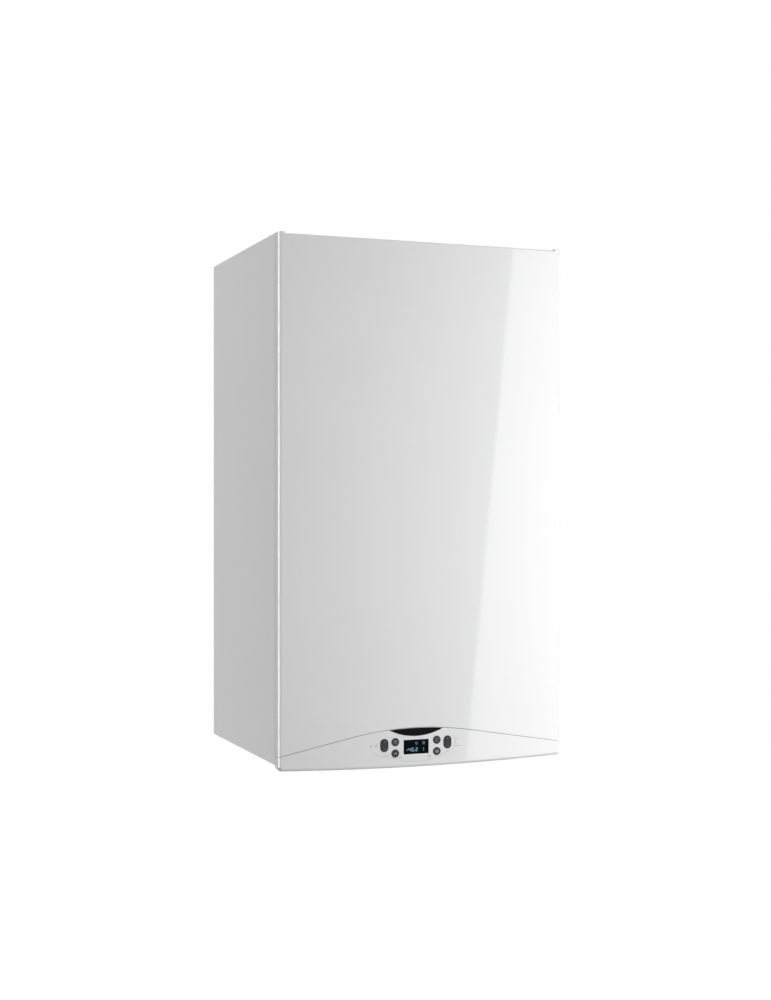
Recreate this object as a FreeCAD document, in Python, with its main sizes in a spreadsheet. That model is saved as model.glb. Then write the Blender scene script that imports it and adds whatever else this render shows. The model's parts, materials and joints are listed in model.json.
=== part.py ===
"""Wall-hung condensing boiler: casing, combustion set, water set and control panel.

Millimetres. X to the viewer's right, the front faces -Y, +Z up. The wall is the plane y = 0, and the origin
is midway between the two screw holes of the wall bracket.
"""
import FreeCAD, Part
import math
import os
import re
import Sketcher
from FreeCAD import Placement, Rotation, Vector

# Driving dimensions in millimetres, one name each, by the piece that they belong to
SIZES = (
    # casing
    ("casing_width", 400), ("casing_height", 680), ("casing_depth", 319), ("hang_drop", 45), ("sheet", 1),
    ("fold", 12), ("flange", 18), ("flange_low", 60), ("top_drop", 2), ("overrun", 1),
    # wall bracket
    ("bracket_width", 300), ("bracket_height", 36), ("bracket_sheet", 2.5), ("bracket_hole", 5),
    ("bracket_pitch", 220), ("hook_width", 30), ("hook_pitch", 120), ("hook_rise", 15),
    ("hook_play", 0.5), ("hook_side_play", 2),
    # rear panel's recess for the bracket
    ("recess_side", 10), ("recess_above", 14), ("recess_depth", 14), ("slot_play", 3),
    ("access_hole", 12),
    # front cover and its fastening
    ("cover_sheet", 1.2), ("cover_return", 14), ("cover_gap", 1.2), ("edge_round", 4), ("top_round", 2.5),
    ("tab_width", 8), ("tab_rise", 1.5), ("arch_peak", 41), ("arch_end", 12),
    ("arch_radius_share", 1.1250000), ("arch_gap", 0.6), ("stud_radius", 2.5), ("stud_length", 9),
    ("stud_tip", 1), ("stud_low_share", 0.1764706), ("stud_high_share", 0.8235294), ("clip_size", 9),
    ("clip_play", 0.3), ("clip_stand", 2),
    # bottom plate and mounting frame
    ("bottom_lift", 8), ("bottom_gap", 8), ("hole_play", 2), ("frame_front_share", 0.2946708),
    ("frame_sheet", 1.5), ("frame_rise", 150), ("frame_drop", 120), ("frame_window", 60),
    ("frame_side_window", 28), ("frame_window_set", 49),
    # flue
    ("flue_bore", 30.25), ("flue_wall", 2), ("flue_play", 0.3), ("flue_drop", 45), ("air_bore", 49),
    ("air_wall", 2), ("collar_rise", 17), ("collar_flange", 72), ("collar_flange_depth", 3),
    ("rib_depth", 2), ("rib_height", 12), ("test_cap", 7), ("test_cap_height", 5), ("test_cap_set", 10.5),
    ("duct_bead", 3), ("duct_bead_height", 8), ("duct_clear", 4), ("duct_overlap", 25),
    ("spigot_rise", 22),
    # exchanger drum and rings
    ("drum_level_share", 0.6617647), ("drum_wall", 3), ("drum_length_share", 0.3385580), ("drum_rim", 9),
    ("drum_rim_depth", 4), ("drain_radius", 11), ("drain_wall", 3), ("drain_drop", 16),
    ("ring_radius", 77), ("ring_width", 22), ("ring_depth", 14), ("ring_edge", 3), ("ring_gap", 6),
    ("ring_clear", 4), ("collector_radius", 6), ("tail_radius", 8), ("tail_drop", 115),
    ("tail_play", 0.3),
    # burner door
    ("gasket_depth", 2), ("gasket_set", 1), ("door_depth", 6), ("door_boss", 30), ("door_boss_depth", 10),
    ("inlet_bore", 22), ("bolt_set", 5.5), ("bolt_radius", 2.9), ("bolt_play", 0.3), ("bolt_head", 5.4),
    ("bolt_head_depth", 4.5), ("burner_radius", 31), ("burner_sheet", 1.5), ("burner_length", 85),
    ("burner_flange", 38), ("burner_slot", 3), ("burner_slot_start", 12), ("burner_slot_end", 72),
    ("electrode_side", 24), ("electrode_drop", 42), ("ceramic_radius", 4), ("ceramic_out", 18),
    ("ceramic_in", 8), ("electrode_collar", 7), ("electrode_collar_depth", 3), ("electrode_rod", 1.2),
    ("electrode_reach", 55), ("electrode_tip", 8), ("terminal_radius", 1.6), ("electrode_play", 0.2),
    # fan
    ("fan_side_gap", 9), ("fan_radius", 58), ("fan_wall", 2.5), ("fan_depth_share", 0.1442006),
    ("outlet_length", 8), ("outlet_height", 40), ("fan_inlet", 24), ("fan_opening", 50),
    ("motor_plate", 56), ("motor_plate_depth", 3), ("motor_radius", 36), ("motor_length", 27),
    ("motor_edge", 3), ("motor_boss", 14), ("motor_boss_depth", 3), ("shaft_radius", 3),
    ("shaft_play", 0.05), ("shaft_hole_depth", 16), ("impeller_radius", 46), ("impeller_start", 6),
    ("impeller_plate", 2.5), ("impeller_room", 16), ("hub_radius", 9), ("hub_length", 18),
    ("shaft_reach", 12), ("blade_sheet", 2), ("blade_root", 17), ("blade_tip", 44), ("blade_lean", 12),
    # mixing tube, air intake and gas line
    ("mix_wall", 2.5), ("intake_straight", 2), ("venturi_radius", 28), ("venturi_flange", 34),
    ("venturi_flange_depth", 4), ("venturi_throat", 17), ("venturi_tap_share", 0.3965517),
    ("throat_set_share", 0.5172414), ("socket_depth", 14), ("socket_wall", 3), ("socket_cone", 6),
    ("intake_radius", 28), ("intake_wall", 2), ("intake_bend", 33), ("intake_back", 5),
    ("intake_top_share", 0.9117647), ("valve_width", 62), ("valve_depth", 60), ("valve_height", 70),
    ("valve_low_share", 0.3382353), ("valve_port", 14), ("valve_port_height", 10), ("valve_round", 4),
    ("solenoid_radius", 14), ("solenoid_length", 26), ("solenoid_cap", 9), ("solenoid_cap_depth", 4.7),
    ("feed_radius", 7), ("feed_wall", 1.5), ("fit_play", 0.2), ("feed_socket", 8), ("tap_boss", 11),
    ("tap_drop", 42), ("gas_radius", 9), ("gas_wall", 1.5), ("gas_bend", 28), ("gas_turn_low", 55),
    ("gas_turn_high_share", 0.1397059),
    # connections below
    ("stub_pitch", 65), ("stub_set", 62), ("stub_drop", 22), ("main_stub", 13.2), ("tap_stub", 10.4),
    ("stub_wall", 3), ("stub_bore_depth", 40), ("nut_rim", 4), ("nut_height", 8), ("nut_drop", 4),
    # condensate trap
    ("trap_radius", 26), ("trap_bore", 5.5), ("trap_cup", 12), ("trap_wall", 2.5), ("trap_neck", 10),
    ("trap_shoulder", 8), ("trap_height_share", 0.1352941), ("trap_base", 20), ("trap_base_height", 18),
    ("trap_outlet", 8.5), ("trap_pipe", 7.5), ("trap_outlet_drop", 15),
    # expansion vessel
    ("vessel_radius_share", 0.2205882), ("vessel_behind", 9), ("vessel_round", 32), ("vessel_wall", 2),
    ("vessel_rim", 5), ("vessel_rim_depth", 4), ("vessel_below", 12), ("vessel_port", 9),
    ("vessel_port_drop", 20), ("vessel_pipe_radius", 5), ("vessel_pipe_wall", 1),
    ("vessel_pipe_bend", 24), ("vessel_turn_drop", 25),
    # water groups and plate exchanger
    ("port_front", 82), ("group_low", 30), ("group_high", 150), ("main_body", 19), ("tap_body", 15),
    ("cross_radius", 13), ("cross_level", 80), ("port_radius", 11), ("pipe_socket", 12),
    ("plate_shift", 10), ("plate_width", 190), ("plate_height", 75), ("plate_low", 100),
    ("plate_depth_share", 0.1191223), ("plate_sheet", 1), ("plate_edge", 1.5), ("plate_port_level", 20),
    # pump
    ("pump_level", 120), ("pump_neck", 14), ("pump_neck_depth", 6), ("pump_radius", 32), ("pump_cone", 4),
    ("pump_flange", 40), ("pump_flange_depth", 6), ("pump_depth", 52), ("pump_bore", 28),
    ("pump_floor", 22), ("outlet_boss", 11.5), ("outlet_in", 6), ("outlet_rise", 48),
    ("pump_motor_radius", 42), ("pump_motor_length", 66), ("pump_motor_edge", 4), ("pump_plate_depth", 5),
    ("pump_cap_radius", 15), ("pump_cap_depth", 4), ("pump_shaft", 5), ("pump_shaft_hole", 44),
    ("rotor_radius", 25), ("rotor_clear", 4), ("rotor_depth", 14), ("rotor_eye", 12), ("rotor_reach", 34),
    ("terminal_width", 44), ("terminal_depth", 40), ("terminal_height", 18),
    # pipes
    ("pipe_radius", 9), ("pipe_wall", 0.8), ("pipe_bend", 28), ("return_turn_low_share", 0.3382353),
    ("return_turn_high_share", 0.4411765), ("flow_turn_low_share", 0.3161765),
    ("flow_turn_high_share", 0.4264706), ("tail_overlap", 17),
    # small water fittings
    ("vent_radius", 14), ("vent_neck", 9), ("vent_neck_height", 6), ("vent_height", 40), ("vent_cone", 4),
    ("vent_cap", 4), ("vent_cap_height", 6), ("diverter_width", 46), ("diverter_height", 56),
    ("diverter_depth", 44), ("diverter_round", 6), ("safety_level", 55), ("safety_neck", 10),
    ("safety_neck_depth", 6), ("safety_radius", 15), ("safety_depth", 24), ("spindle_radius", 4),
    ("spindle_play", 0.05), ("spindle_length", 12), ("knob_gap", 0.5), ("knob_radius", 15),
    ("knob_depth", 16), ("knob_groove", 2), ("discharge_radius", 8), ("discharge_pipe", 7),
    ("discharge_wall", 2.5), ("nozzle_length", 23), ("discharge_drop", 15), ("filling_side", 100),
    ("filling_set", 100), ("filling_radius", 10), ("filling_arm", 8), ("filling_low", 24),
    ("filling_spindle", 32), ("filling_knob_depth", 18), ("filling_knob_radius", 13),
    # control fascia and badge
    ("controls_shift", 11.5), ("fascia_wall", 2.2), ("chin_end", 6.3), ("chin_centre", 11),
    ("chin_corner", 5), ("badge_half", 37.5), ("badge_low", 30), ("badge_depth", 1.2),
    ("badge_proud", 0.3), ("badge_inset", 0.4), ("badge_play", 0.15),
    # buttons
    ("button_radius", 5.2), ("button_spread", 29.35), ("button_high", 23.25), ("button_low", 8.35),
    ("oval_spread", 44.6), ("oval_level", 19.6), ("oval_width", 10.7), ("oval_height", 16.8),
    ("button_play", 0.25), ("button_proud", 1), ("button_edge", 0.4), ("button_collar", 1.1),
    ("button_collar_depth", 1.2), ("button_rest_gap", 0.2), ("stem_radius", 2), ("button_travel", 1),
    ("switch_gap", 0.3), ("switch_size", 6), ("switch_height", 3),
    # display and its board
    ("display_width", 35.4), ("display_height", 18.9), ("display_level", 15.75), ("window_depth", 1.8),
    ("window_play", 0.15), ("window_set", 0.3), ("module_rim", 2.6), ("module_gap", 0.3),
    ("board_sheet", 1.6), ("board_set", 13), ("board_half", 68), ("board_drop", 3), ("board_high", 30),
    ("post_radius", 3), ("post_spread", 62), ("post_low", 2), ("post_high", 25),
    # control tray
    ("tray_side_gap", 9), ("tray_set", 19), ("tray_depth_share", 0.3761755), ("tray_height", 43.5),
    ("tray_wall", 2.5), ("lid_sheet", 2.5), ("lid_slot_width", 4), ("lid_slot_length", 60),
    ("lid_slot_pitch", 12), ("tray_post", 4), ("tray_post_near_share", 0.25),
    ("tray_post_far_share", 0.4125), ("tray_post_level", 5), ("hinge_set", 6), ("hinge_level", 7),
    ("hinge_radius", 4), ("hinge_play", 0.06), ("hinge_length", 14), ("hinge_flange", 8),
    ("hinge_flange_depth", 2), ("main_board_width", 280), ("main_board_depth", 85),
    ("main_board_lift", 12), ("board_post", 4), ("board_post_set", 8), ("transformer_width", 44),
    ("transformer_depth", 38), ("transformer_height", 24), ("relay_width", 14), ("relay_depth", 28),
    ("relay_height", 15), ("relay_pitch", 20), ("capacitor_radius", 7), ("capacitor_height", 20),
    ("socket_row_width", 150), ("socket_row_depth", 10), ("socket_row_height", 9), ("component_edge", 6),
)

# Counts of what repeats
BOLT_COUNT = 6
BURNER_SLOT_COUNT = 12
BLADE_COUNT = 10
PLATE_COUNT = 14
LID_SLOT_COUNT = 9
RELAY_COUNT = 3
RING_COUNT = 5

# Shares of the gas valve's height at which its two solenoids stand
SOLENOID_SHARES = (0.27, 0.73)
# How far the badge seat's pointed ends run past the badge, in shares of the play along its edges
BADGE_TIP_SHARE = 5
# Share of a full turn that a first guess of the arch's round crown takes on each side of its top
CROWN_SHARE = 0.028

# Sizes that follow others
FOLLOWING = {
    "hang_height": "(casing_height - hang_drop)",
    "arch_radius": "(casing_width * arch_radius_share)",
    "stud_low": "(casing_height * stud_low_share)",
    "stud_high": "(casing_height * stud_high_share)",
    "drum_level": "(casing_height * drum_level_share)",
    "drum_bore": "(ring_radius + ring_width / 2 + ring_clear)",
    "intake_top": "(casing_height * intake_top_share)",
    "valve_low": "(casing_height * valve_low_share)",
    "gas_turn_high": "(casing_height * gas_turn_high_share)",
    "trap_height": "(casing_height * trap_height_share)",
    "vessel_radius": "(casing_height * vessel_radius_share)",
    "return_turn_low": "(casing_height * return_turn_low_share)",
    "return_turn_high": "(casing_height * return_turn_high_share)",
    "flow_turn_low": "(casing_height * flow_turn_low_share)",
    "flow_turn_high": "(casing_height * flow_turn_high_share)",
    "frame_front": "(casing_depth * frame_front_share)",
    "drum_length": "(casing_depth * drum_length_share)",
    "fan_depth": "(casing_depth * fan_depth_share)",
    "tray_depth": "(casing_depth * tray_depth_share)",
    "plate_depth": "(casing_depth * plate_depth_share)",
    "recess_low": "(hang_height - bracket_height / 2 - recess_above)",
    "vessel_level": "(recess_low - sheet - vessel_below - vessel_radius)",
    "vessel_depth": "(frame_front - sheet - vessel_behind)",
    "vessel_turn_high": "(vessel_level - vessel_radius - vessel_port_drop - vessel_turn_drop)",
    "vessel_turn_low": "((vessel_turn_high + group_high) / 2)",
    "impeller_height": "(fan_depth - impeller_room)",
    "intake_reach": "(intake_back + intake_radius + intake_bend + intake_straight)",
    "venturi_length": "(door_stack + drum_length - intake_reach)",
    "tray_post_near": "(casing_width * tray_post_near_share)",
    "tray_post_far": "(casing_width * tray_post_far_share)",
    "door_stack": "(gasket_depth + door_depth + door_boss_depth)",
    "venturi_tap": "(venturi_length * venturi_tap_share)",
    "throat_set": "(venturi_length * throat_set_share)",
}

# Places worked out from the sizes, as distances from the wall or heights over the casing's bottom edge
HALF = "(casing_width / 2)"
INNER = "(casing_width / 2 - sheet)"
SIDE_DEPTH = "(casing_depth - cover_return - cover_gap)"
COVER_BACK = "(casing_depth - cover_sheet)"
STUD_X = "(casing_width / 2 - flange / 2 - sheet / 2)"
CLIP_LENGTH = "(cover_return + cover_gap - cover_sheet - clip_stand)"
TOP = "(casing_height - top_drop)"
FLUE_OUTER = "(flue_bore + flue_wall)"
DRUM_OUTER = "(drum_bore + drum_wall)"
DRUM_RIM = "(drum_bore + drum_wall + drum_rim)"
DRUM_MID = "(frame_front + drum_length / 2)"
DRUM_FRONT = "(frame_front + drum_length)"
DRAIN_END = "(drum_level - drum_bore - drum_wall - drain_drop)"
BOLT_RING = "(drum_bore + drum_wall + drum_rim - bolt_set)"
RING_REAR = "(frame_front + drum_wall + ring_gap + ring_depth / 2)"
RING_FRONT = "(frame_front + drum_length - ring_gap - ring_depth / 2)"
RING_PITCH = f"((drum_length - drum_wall - 2 * ring_gap - ring_depth) / {RING_COUNT - 1})"
DOOR_REAR = f"({DRUM_FRONT} + gasket_depth)"
DOOR_FRONT = f"({DRUM_FRONT} + gasket_depth + door_depth)"
FAN_REAR = f"({DRUM_FRONT} + gasket_depth + door_depth + door_boss_depth)"
FAN_FRONT = f"({FAN_REAR} + fan_depth)"
FAN_X = "(casing_width / 2 - sheet - fan_side_gap - fan_radius)"
FAN_LEVEL = "(drum_level - fan_radius + outlet_height / 2)"
INTAKE_SET = "(frame_front + intake_back + intake_radius)"
VENTURI_END = f"({FAN_REAR} - venturi_length)"
GAS_SET = f"({FAN_REAR} - venturi_tap)"
VALVE_TOP = "(valve_low + valve_height + valve_port_height)"
VESSEL_MID = "(sheet + vessel_depth / 2)"
PUMP_FRONT = "(port_front + pump_depth)"
PUMP_OUTLET = "(port_front + pump_floor + outlet_in)"
TRAY_FRONT = "(casing_depth - tray_set)"
TRAY_REAR = "(casing_depth - tray_set - tray_depth)"
TRAY_HALF = "(casing_width / 2 - sheet - tray_side_gap)"
HINGE_SET = "(casing_depth - tray_set - tray_depth + hinge_set)"
BOTTOM_DEPTH = f"({TRAY_REAR} - bottom_gap)"
BOARD_FRONT = "(casing_depth - board_set)"
MAIN_BOARD_TOP = "(main_board_lift + board_sheet)"

DIRECTIONS = {
    "up": Rotation(),
    "down": Rotation(Vector(1, 0, 0), 180),
    "front": Rotation(Vector(1, 0, 0), 90),
    "back": Rotation(Vector(1, 0, 0), -90),
    "right": Rotation(Vector(0, 1, 0), 90),
    "left": Rotation(Vector(0, 1, 0), -90),
}
FRONT_PLANE = "XZ_Plane"
SIDE_PLANE = "YZ_Plane"
PLAN = "XY_Plane"

doc = FreeCAD.newDocument("wall_boiler")
sizes = doc.addObject("Spreadsheet::Sheet", "Sizes")
for row, (size_name, size_value) in enumerate(SIZES, start=1):
    sizes.set(f"A{row}", size_name)
    sizes.set(f"B{row}", str(size_value))
    sizes.setAlias(f"B{row}", size_name)
doc.recompute()

NAMES = {size_name for size_name, size_value in SIZES}
WORD = re.compile(r"[a-z][a-z_]*")
parts = []


# Formulas

def plain(text):
    """The formula with each following size written out in the sheet's sizes."""
    return WORD.sub(lambda word: plain(FOLLOWING[word[0]]) if word[0] in FOLLOWING else word[0], text)


def formula(text):
    """The formula as the document writes it, with each size read from the sheet."""
    return WORD.sub(lambda word: "Sizes." + word[0] if word[0] in NAMES else word[0], plain(text))


def number(text):
    """The formula's value at the sheet's present sizes."""
    def value(word):
        return f"({getattr(sizes, word[0])})" if word[0] in NAMES else word[0]

    filled = WORD.sub(value, plain(text))
    return FreeCAD.Units.Quantity(filled).Value


def point(x, y, z):
    """A point in the part's frame, with its height given over the casing's bottom edge."""
    return Vector(number(x), number(y), number(f"{z} - hang_height"))


# Solids

def bind(thing, **formulas):
    for name, text in formulas.items():
        thing.setExpression(name, formula(text))
    return thing


def place(thing, at, direction="up"):
    """Stands a thing at a point, heights over the casing's bottom edge, with its own Z in a direction."""
    thing.Placement = Placement(Vector(), DIRECTIONS[direction])
    x, y, z = at
    thing.setExpression("Placement.Base.x", formula(x))
    thing.setExpression("Placement.Base.y", formula(y))
    thing.setExpression("Placement.Base.z", formula(f"{z} - hang_height"))
    return thing


def block(at, size):
    """A rectangular block from its left, front, lower corner."""
    thing = doc.addObject("Part::Box", "block")
    bind(thing, Length=size[0], Width=size[1], Height=size[2])
    return place(thing, at)


def rod(at, radius, length, direction="up"):
    thing = doc.addObject("Part::Cylinder", "rod")
    bind(thing, Radius=radius, Height=length)
    return place(thing, at, direction)


def hexagon(at, radius, length, direction="up"):
    thing = doc.addObject("Part::Prism", "hexagon")
    thing.Polygon = 6
    bind(thing, Circumradius=radius, Height=length)
    return place(thing, at, direction)


def union(*things):
    thing = doc.addObject("Part::MultiFuse", "union")
    thing.Shapes = list(things)
    thing.Refine = True
    return thing


def cut(base, *tools):
    thing = doc.addObject("Part::Cut", "cut")
    thing.Base = base
    thing.Tool = tools[0] if len(tools) == 1 else union(*tools)
    return thing


def group(*things):
    thing = doc.addObject("Part::Compound", "group")
    thing.Links = list(things)
    return thing


def part(label, thing):
    """Names a finished sub-part."""
    thing.Label = label
    parts.append(thing)
    return thing


# Sketches and features

def new_body(at, direction="up"):
    return place(doc.addObject("PartDesign::Body", "body"), at, direction)


def origin_feature(body, role):
    return next(feature for feature in body.Origin.OriginFeatures if feature.Role == role)


def sketch_on(body, plane, lift="0"):
    """An empty sketch on one of the body's own planes, lifted along the plane's normal."""
    sketch = body.newObject("Sketcher::SketchObject", "sketch")
    sketch.AttachmentSupport = [(origin_feature(body, plane), "")]
    sketch.MapMode = "FlatFace"
    sketch.setExpression("AttachmentOffset.Base.z", formula(lift))
    return sketch


def flat(place_on_sketch):
    return Vector(number(place_on_sketch[0]), number(place_on_sketch[1]), 0)


def pin(sketch, edge, end, place_on_sketch):
    """Holds one end of an edge at a place given as formulas."""
    for kind, text in zip(("DistanceX", "DistanceY"), place_on_sketch):
        index = sketch.addConstraint(Sketcher.Constraint(kind, -1, 1, edge, end, number(text)))
        sketch.setExpression(f"Constraints[{index}]", formula(text))


def circle(sketch, centre, radius):
    edge = sketch.addGeometry(Part.Circle(flat(centre), Vector(0, 0, 1), number(radius)))
    pin(sketch, edge, 3, centre)
    index = sketch.addConstraint(Sketcher.Constraint("Radius", edge, number(radius)))
    sketch.setExpression(f"Constraints[{index}]", formula(radius))


def add_edge(sketch, start, end, bow=None):
    """A straight edge, or an arc through the place bow."""
    if bow is None:
        return sketch.addGeometry(Part.LineSegment(flat(start), flat(end)))
    edge = sketch.addGeometry(Part.Arc(flat(start), flat(bow), flat(end)))
    mark = sketch.addGeometry(Part.Point(flat(bow)), True)
    pin(sketch, mark, 1, bow)
    sketch.addConstraint(Sketcher.Constraint("PointOnObject", mark, 1, edge))
    return edge


def loop(sketch, corners, bows=None):
    """A closed outline, counterclockwise through its corners, with arcs where bows names an edge."""
    bows = bows or {}
    count = len(corners)
    edges = [add_edge(sketch, corners[i], corners[(i + 1) % count], bows.get(i)) for i in range(count)]
    for i, edge in enumerate(edges):
        sketch.addConstraint(Sketcher.Constraint("Coincident", edge, 2, edges[(i + 1) % count], 1))
        pin(sketch, edge, 1, corners[i])


def rectangle(sketch, left, low, right, high):
    loop(sketch, ((left, low), (right, low), (right, high), (left, high)))


def pill(sketch, x, level, width, height):
    """An upright oval with straight sides and round ends."""
    left = f"{x} - ({width}) / 2"
    right = f"{x} + ({width}) / 2"
    low = f"{level} - ({height} - ({width})) / 2"
    high = f"{level} + ({height} - ({width})) / 2"
    ends = {1: (x, f"{level} + ({height}) / 2"), 3: (x, f"{level} - ({height}) / 2")}
    loop(sketch, ((right, low), (right, high), (left, high), (left, low)), ends)


def lying_pill(sketch, width, height):
    """A lying oval about the sketch's origin."""
    side = f"(({width}) - ({height})) / 2"
    half = f"({height}) / 2"
    corners = ((f"-{side}", f"-{half}"), (side, f"-{half}"), (side, half), (f"-{side}", half))
    loop(sketch, corners, {1: (f"({width}) / 2", "0"), 3: (f"-({width}) / 2", "0")})


def pad(body, sketch, length, backward=False):
    feature = body.newObject("PartDesign::Pad", "pad")
    feature.Profile = sketch
    feature.Reversed = backward
    return bind(feature, Length=length)


def pocket(body, sketch, length, backward=False):
    feature = body.newObject("PartDesign::Pocket", "pocket")
    feature.Profile = sketch
    feature.Reversed = backward
    return bind(feature, Length=length)


def around(body, feature, count):
    """Repeats a feature evenly around the body's own Z axis."""
    pattern = body.newObject("PartDesign::PolarPattern", "around")
    pattern.Originals = [feature]
    pattern.Axis = (origin_feature(body, "Z_Axis"), [""])
    pattern.Angle = 360
    pattern.Occurrences = count
    body.Tip = pattern
    return pattern


def along(body, feature, axis, length, count, backward=False):
    """Repeats a feature evenly along one of the body's own axes."""
    pattern = body.newObject("PartDesign::LinearPattern", "along")
    pattern.Originals = [feature]
    pattern.Direction = (origin_feature(body, axis), [""])
    pattern.Reversed = backward
    pattern.Occurrences = count
    bind(pattern, Length=length)
    body.Tip = pattern
    return pattern


def round_edges(body, radius, wanted):
    """Rounds the edges of the body's latest feature whose middle passes the test wanted."""
    doc.recompute()
    before = body.Tip
    shape = before.Shape
    names = [f"Edge{i}" for i, edge in enumerate(shape.Edges, start=1) if wanted(edge)]
    feature = body.newObject("PartDesign::Fillet", "rounding")
    feature.Base = (before, names)
    bind(feature, Radius=radius)
    body.Tip = feature
    return feature


def middle(edge):
    """The point halfway along an edge's own parameter."""
    return edge.valueAt((edge.FirstParameter + edge.LastParameter) / 2)


def near(value, text):
    return abs(value - number(text)) < number("cover_sheet / 10")


def turned(at, profile, direction="up"):
    """A body of revolution: radius and height along its direction for each corner of the profile."""
    body = new_body(at, direction)
    sketch = sketch_on(body, FRONT_PLANE)
    loop(sketch, profile)
    feature = body.newObject("PartDesign::Revolution", "revolution")
    feature.Profile = sketch
    feature.ReferenceAxis = (sketch, ["V_Axis"])
    feature.Angle = 360
    return body


def drawn(at, plane, corners, length, lift="0"):
    """A straight section: an outline drawn out along its plane's normal."""
    body = new_body(at)
    sketch = sketch_on(body, plane, lift)
    loop(sketch, corners)
    pad(body, sketch, length)
    return body


def bent_path(points, bend):
    """Straight runs through the points, joined by tangent arcs of one radius."""
    edges = []
    start = points[0]
    for before, corner, after in zip(points, points[1:], points[2:]):
        into = (corner - before).normalize()
        out = (after - corner).normalize()
        turn = into.getAngle(out)
        reach = bend * math.tan(turn / 2)
        arc_start = corner - into * reach
        arc_end = corner + out * reach
        inward = (out - into).normalize()
        arc_middle = corner + inward * (bend / math.cos(turn / 2) - bend)
        edges.append(Part.LineSegment(start, arc_start).toShape())
        edges.append(Part.Arc(arc_start, arc_middle, arc_end).toShape())
        start = arc_end
    edges.append(Part.LineSegment(start, points[-1]).toShape())
    return Part.Wire(edges)


def swept(path, radius, wall):
    """A hollow tube along a path."""
    start = path.Vertexes[0].Point
    heading = path.Edges[0].tangentAt(path.Edges[0].FirstParameter)
    rims = []
    for rim_radius in (radius, radius - wall):
        rim = Part.Wire(Part.makeCircle(rim_radius, start, heading))
        rims.append(path.makePipeShell([rim], True, False))
    return rims[0].cut(rims[1])


def pipe(points, radius, wall, bend):
    thing = doc.addObject("Part::Feature", "pipe")
    places = [point(*place_in_room) for place_in_room in points]
    thing.Shape = swept(bent_path(places, number(bend)), number(radius), number(wall))
    thing.Placement = Placement()
    return thing


# Casing

def wall_bracket():
    top = "(hang_height + bracket_height / 2)"
    reach = "(recess_depth + sheet + hook_play)"
    plate_size = ("bracket_width", "bracket_sheet", "bracket_height")
    plate_at = ("-bracket_width / 2", "-bracket_sheet", "hang_height - bracket_height / 2")
    pieces = [block(plate_at, plate_size)]
    holes = []
    for side in ("-", ""):
        left = f"{side}hook_pitch / 2 - hook_width / 2"
        low = f"{top} - bracket_sheet"
        front = f"-{reach} - bracket_sheet"
        pieces.append(block((left, front, low), ("hook_width", reach, "bracket_sheet")))
        pieces.append(block((left, front, low), ("hook_width", "bracket_sheet", "hook_rise")))
        hole_at = (f"{side}bracket_pitch / 2", "0", "hang_height")
        holes.append(rod(hole_at, "bracket_hole", "bracket_sheet", "front"))
    return part("wall_bracket", cut(union(*pieces), *holes))


def rear_panel():
    half = "(bracket_width / 2 + recess_side)"
    low = "(hang_height - bracket_height / 2 - recess_above)"
    height = "(bracket_height + 2 * recess_above)"
    slot_height = "(hook_rise + slot_play)"
    slot_width = "(hook_width + 2 * hook_side_play)"
    sheet_at = (f"-{INNER}", "-sheet", "0")
    fold_low = "(bottom_lift + sheet)"
    fold_size = ("sheet", "fold - sheet", f"{TOP} - sheet - {fold_low}")
    pan_at = (f"-{half} - sheet", "-recess_depth - sheet", f"{low} - sheet")
    pan_size = (f"2 * {half} + 2 * sheet", "recess_depth + sheet", f"{height} + 2 * sheet")
    panel = union(
        block(sheet_at, (f"2 * {INNER}", "sheet", "casing_height")),
        block((f"-{INNER}", "-fold", fold_low), fold_size),
        block((f"{INNER} - sheet", "-fold", fold_low), fold_size),
        block(pan_at, pan_size),
    )
    openings = [block((f"-{half}", "-recess_depth", low), (f"2 * {half}", "recess_depth", height))]
    for side in ("-", ""):
        slot_low = f"hang_height + bracket_height / 2 - {slot_height}"
        slot_at = (f"{side}hook_pitch / 2 - {slot_width} / 2", "-recess_depth - sheet", slot_low)
        openings.append(block(slot_at, (slot_width, "2 * sheet", slot_height)))
        hole_at = (f"{side}bracket_pitch / 2", "sheet - recess_depth", "hang_height")
        openings.append(rod(hole_at, "access_hole", "2 * sheet", "front"))
    return part("rear_panel", cut(panel, *openings))


def side_panel(label, side):
    """A flat sheet, its front edge folded inward over the control panel; side is -1 left and 1 right."""
    corners = [
        (HALF, "0"),
        (f"{HALF} - sheet", "0"),
        (f"{HALF} - sheet", f"sheet - {SIDE_DEPTH}"),
        (f"{HALF} - flange", f"sheet - {SIDE_DEPTH}"),
        (f"{HALF} - flange", f"-{SIDE_DEPTH}"),
        (HALF, f"-{SIDE_DEPTH}"),
    ]
    notch_left = f"{HALF} - flange"
    if side < 0:
        corners = [(f"-({x})", y) for x, y in reversed(corners)]
        notch_left = f"sheet - {HALF}"
    panel = drawn(("0", "0", "0"), PLAN, corners, "casing_height")
    notch = block((notch_left, f"-{SIDE_DEPTH}", "0"), ("flange - sheet", "sheet", "flange_low"))
    return part(label, cut(panel, notch))


def top_panel():
    front = f"(sheet - {SIDE_DEPTH})"
    corners = (
        (front, f"{TOP} - fold"),
        (f"{front} + sheet", f"{TOP} - fold"),
        (f"{front} + sheet", f"{TOP} - sheet"),
        ("-sheet", f"{TOP} - sheet"),
        ("-sheet", TOP),
        (front, TOP),
    )
    panel = drawn(("0", "0", "0"), SIDE_PLANE, corners, f"2 * {INNER}", f"-{INNER}")
    flue_hole = rod(("0", f"-{DRUM_MID}", f"{TOP} - fold"), "air_bore", "fold + overrun")
    return part("top_panel", cut(panel, flue_hole))


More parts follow.
